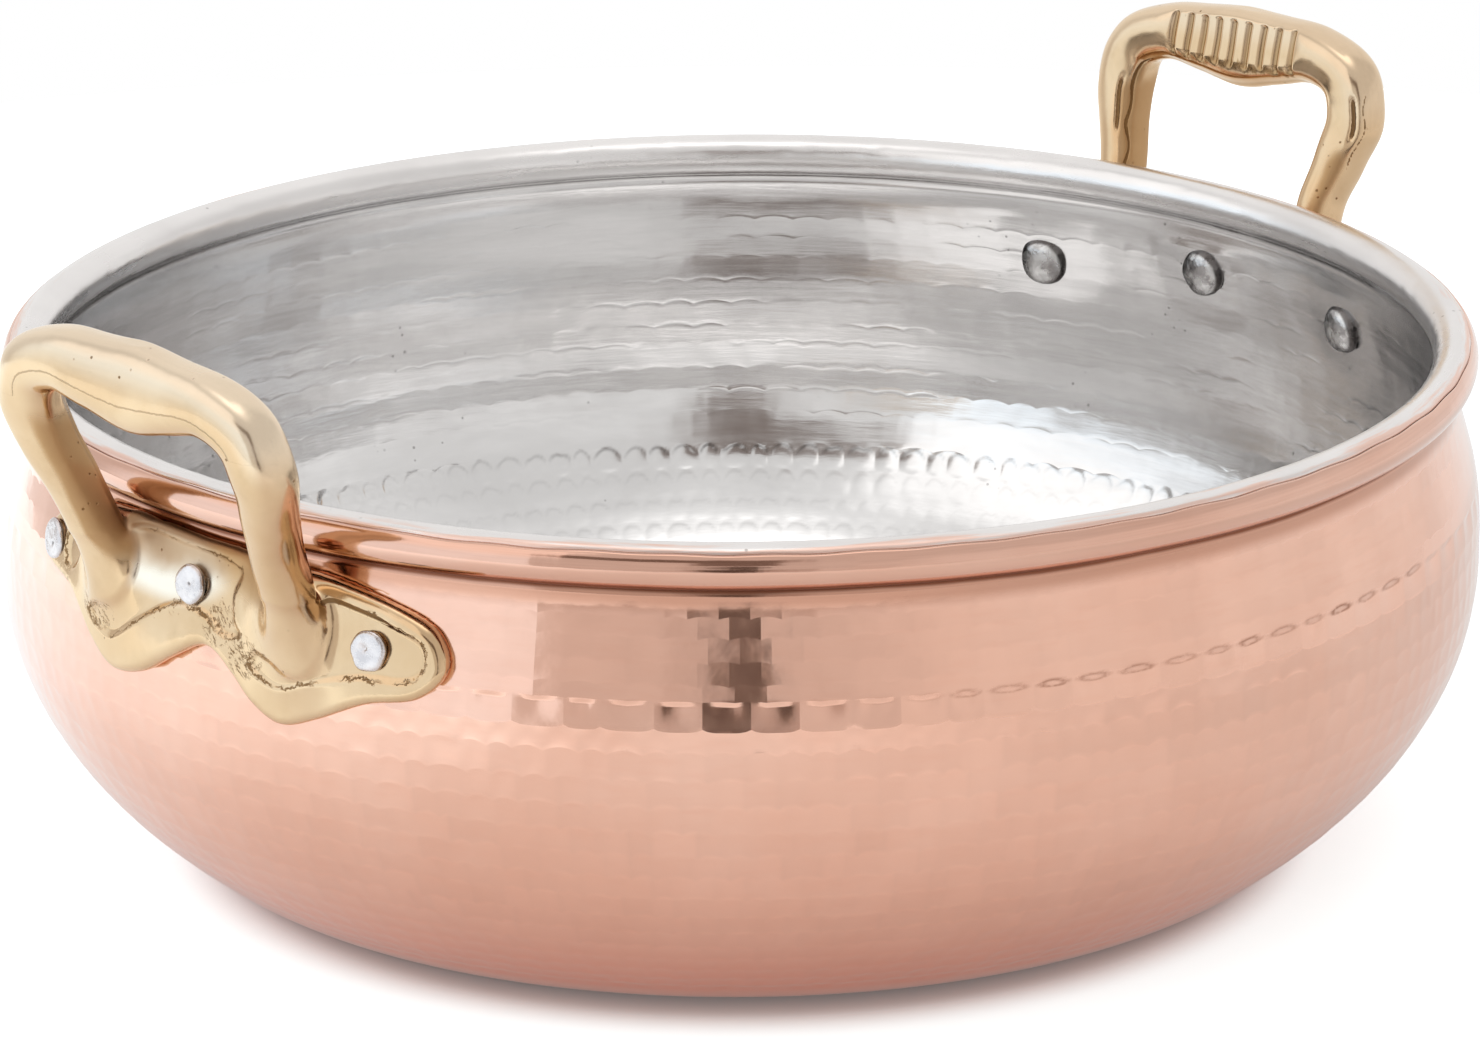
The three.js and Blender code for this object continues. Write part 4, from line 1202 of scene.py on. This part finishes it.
def tent_material():
    """The studio tent: bright top and sides, a darker front with the camera in it."""
    n = Nodes("tent_light")
    x, y, z = n.split(n.place())
    rise = n.degrees(z, n.length(x, y))
    # angle from the direction of the camera, positive towards the picture's right
    front = math.radians(FRONT_BEARING)
    c, s = math.cos(front), math.sin(front)
    turn = n.degrees(y * c - x * s, x * c + y * s)

    def window(turns, rises):
        ends = [n.span(v, *w[:2]) * n.span(v, *w[2:], 1.0, 0.0) for v, w in ((turn, turns), (rise, rises))]
        return ends[0] * ends[1]

    left = window(*LEFT_WINDOW)
    level = n.span(rise, 60.0, 78.0, 0.745, 1.12) + n.span(rise, 70.0, 80.0, 0.0, 0.6)
    goals = ((0.95, n.span(n.size(turn), 115.0, 140.0)), (0.885, window(*RIGHT_WINDOW)), (1.22, left))
    for goal, mask in goals:
        level = level + (goal - level) * mask
    folds = n.noise(n.join(turn * 0.11, rise * 0.16, 0.0), 1.0, 2.0)
    level = level * n.span(folds, 0.25, 0.75, 0.94, 1.06)
    dark = n.largest(*(window(turns, rises) * strength for strength, turns, rises in DARK_THINGS.values()))
    level = level * (1.0 - dark * 0.88)
    cool = left * n.span(rise, 12.0, 36.0, 1.0, 0.0)
    color = n.mix(cool, (1.0, 0.99, 0.98), (0.91, 1.0, 1.075))
    color = n.mix(dark, color, (1.0, 0.78, 0.68))
    n.material.cycles.emission_sampling = "NONE"
    return n.surface(n.add("ShaderNodeEmission", {"Color": color, "Strength": level}))


def floor_material():
    """Paper, bright white away from the dish, with a painted shadow round the dish's foot that only the
    camera sees, and painted shade on its right side that only reflections see.
    """
    n = Nodes("floor_paper")
    place = n.place()
    x, y, _ = n.split(place)
    radius = n.length(x, y)
    toward = (x * -0.72 + y * -0.694) / radius
    leftward = x * -0.69 + y * 0.72
    far = radius + (1.0 - toward) * 0.018
    seen = n.add("ShaderNodeLightPath", {}, "Is Camera Ray")
    # painted shade on the right, seen only in reflections; painted shadow round the dish's foot, seen only by
    # the camera
    color = n.coats(
        n.mix(n.noise(place, 40.0), (0.885, 0.885, 0.885), (0.90, 0.90, 0.90)),
        (n.span(leftward, -0.10, -0.28) * (1.0 - seen) * 0.3, (0.5, 0.5, 0.5)),
        (n.span(far, 0.1205, 0.1055) * seen, (0.25, 0.265, 0.27)))
    shader = n.add("ShaderNodeBsdfDiffuse", {"Color": color})
    # the last glow, seen only by the camera, whitens the floor beyond the painted shadow
    glows = (((1.0, 1.0, 1.0), n.span(radius, 0.30, 0.42, 0.10, 0.21)),
             ((0.72, 1.0, 1.15), n.span(leftward, 0.05, 0.30, 0.0, 0.42)),
             ((0.82, 1.0, 1.04), n.span(far, 0.1125, 0.127, 0.0, 0.5) * seen))
    for tint, strength in glows:
        glow = n.add("ShaderNodeEmission", {"Color": tint, "Strength": strength})
        shader = n.add("ShaderNodeAddShader", {0: shader, 1: glow})
    return n.surface(shader)


def build_studio(rings=40, sides=96, floor_sides=128):
    angle = np.radians(np.linspace(TENT_FOOT, 90, rings))[:, None] + np.zeros(sides)
    tent_verts = revolve(TENT_R * np.cos(angle), TENT_R * np.sin(angle))
    tent = new_object("studio_tent", tent_verts, ring_faces(rings, sides)[:, ::-1].tolist(), tent_material())
    tent.visible_camera = False
    tent.visible_shadow = False

    ring = revolve(np.full((1, floor_sides), FLOOR_R), np.full((1, floor_sides), FLOOR_Z))
    floor = new_object("studio_floor", ring, [tuple(range(floor_sides))], floor_material(), smooth=False)

    world = bpy.data.worlds.new("studio_white")
    world.use_nodes = True
    background = world.node_tree.nodes["Background"]
    background.inputs["Color"].default_value = (1, 1, 1, 1)
    background.inputs["Strength"].default_value = 1.0
    bpy.context.scene.world = world


# The camera as it was fitted to the photograph: pixels, then millimetres and directions
PICTURE_PX, FOCAL_PX, CENTRE_PX = (1480, 1048), 7881.33, (740.87, 576.5)
CAMERA_AT = (-1034.769, -997.512, 520.628)
CAMERA_RIGHT, CAMERA_UP = (0.692731, -0.721176, -0.005394), (0.230123, 0.213946, 0.949353)


def build_camera():
    data = bpy.data.cameras.new("camera")
    data.sensor_fit = "HORIZONTAL"
    data.sensor_width = 36.0
    width, height = PICTURE_PX
    data.lens = FOCAL_PX / width * data.sensor_width
    data.shift_x = (width / 2 - CENTRE_PX[0]) / width
    data.shift_y = (CENTRE_PX[1] - height / 2) / width
    data.clip_start, data.clip_end = 0.05, 50.0
    camera = bpy.data.objects.new("camera", data)
    bpy.context.scene.collection.objects.link(camera)
    right, up = Vector(CAMERA_RIGHT), Vector(CAMERA_UP)
    rotation = Matrix((right, up, right.cross(up))).transposed().to_4x4()
    camera.matrix_world = Matrix.Translation(Vector(CAMERA_AT) * MM) @ rotation
    bpy.context.scene.camera = camera


def hand_in(obj, node):
    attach(obj, "root")
    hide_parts(node)


def build_dish():
    hand_in(copper_bowl(copper_material()), "copper_bowl")
    hand_in(tin_lining(tin_material()), "tin_lining")
    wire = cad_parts["rim_wire"]
    wire.data.materials.clear()
    wire.data.materials.append(wire_material())
    brass, steel = brass_material(), rivet_material()
    for name, turn, skew, seed in (("left", math.pi, 0.0, 3), ("right", 0.0, 3.2, 4)):
        hand_in(casting(f"casting_{name}", turn, skew, brass, seed), f"handle_{name}")
        for k, (spot, (across, rise)) in enumerate(zip(("left", "middle", "right"), RIVETS)):
            stud = rivet(f"stud_{name}_{spot}", across, rise, turn, steel, seed * 10 + k)
            hand_in(stud, f"rivet_{name}_{spot}")


build_camera()
build_studio()
build_dish()

bpy.context.scene.view_settings.view_transform = "Standard"
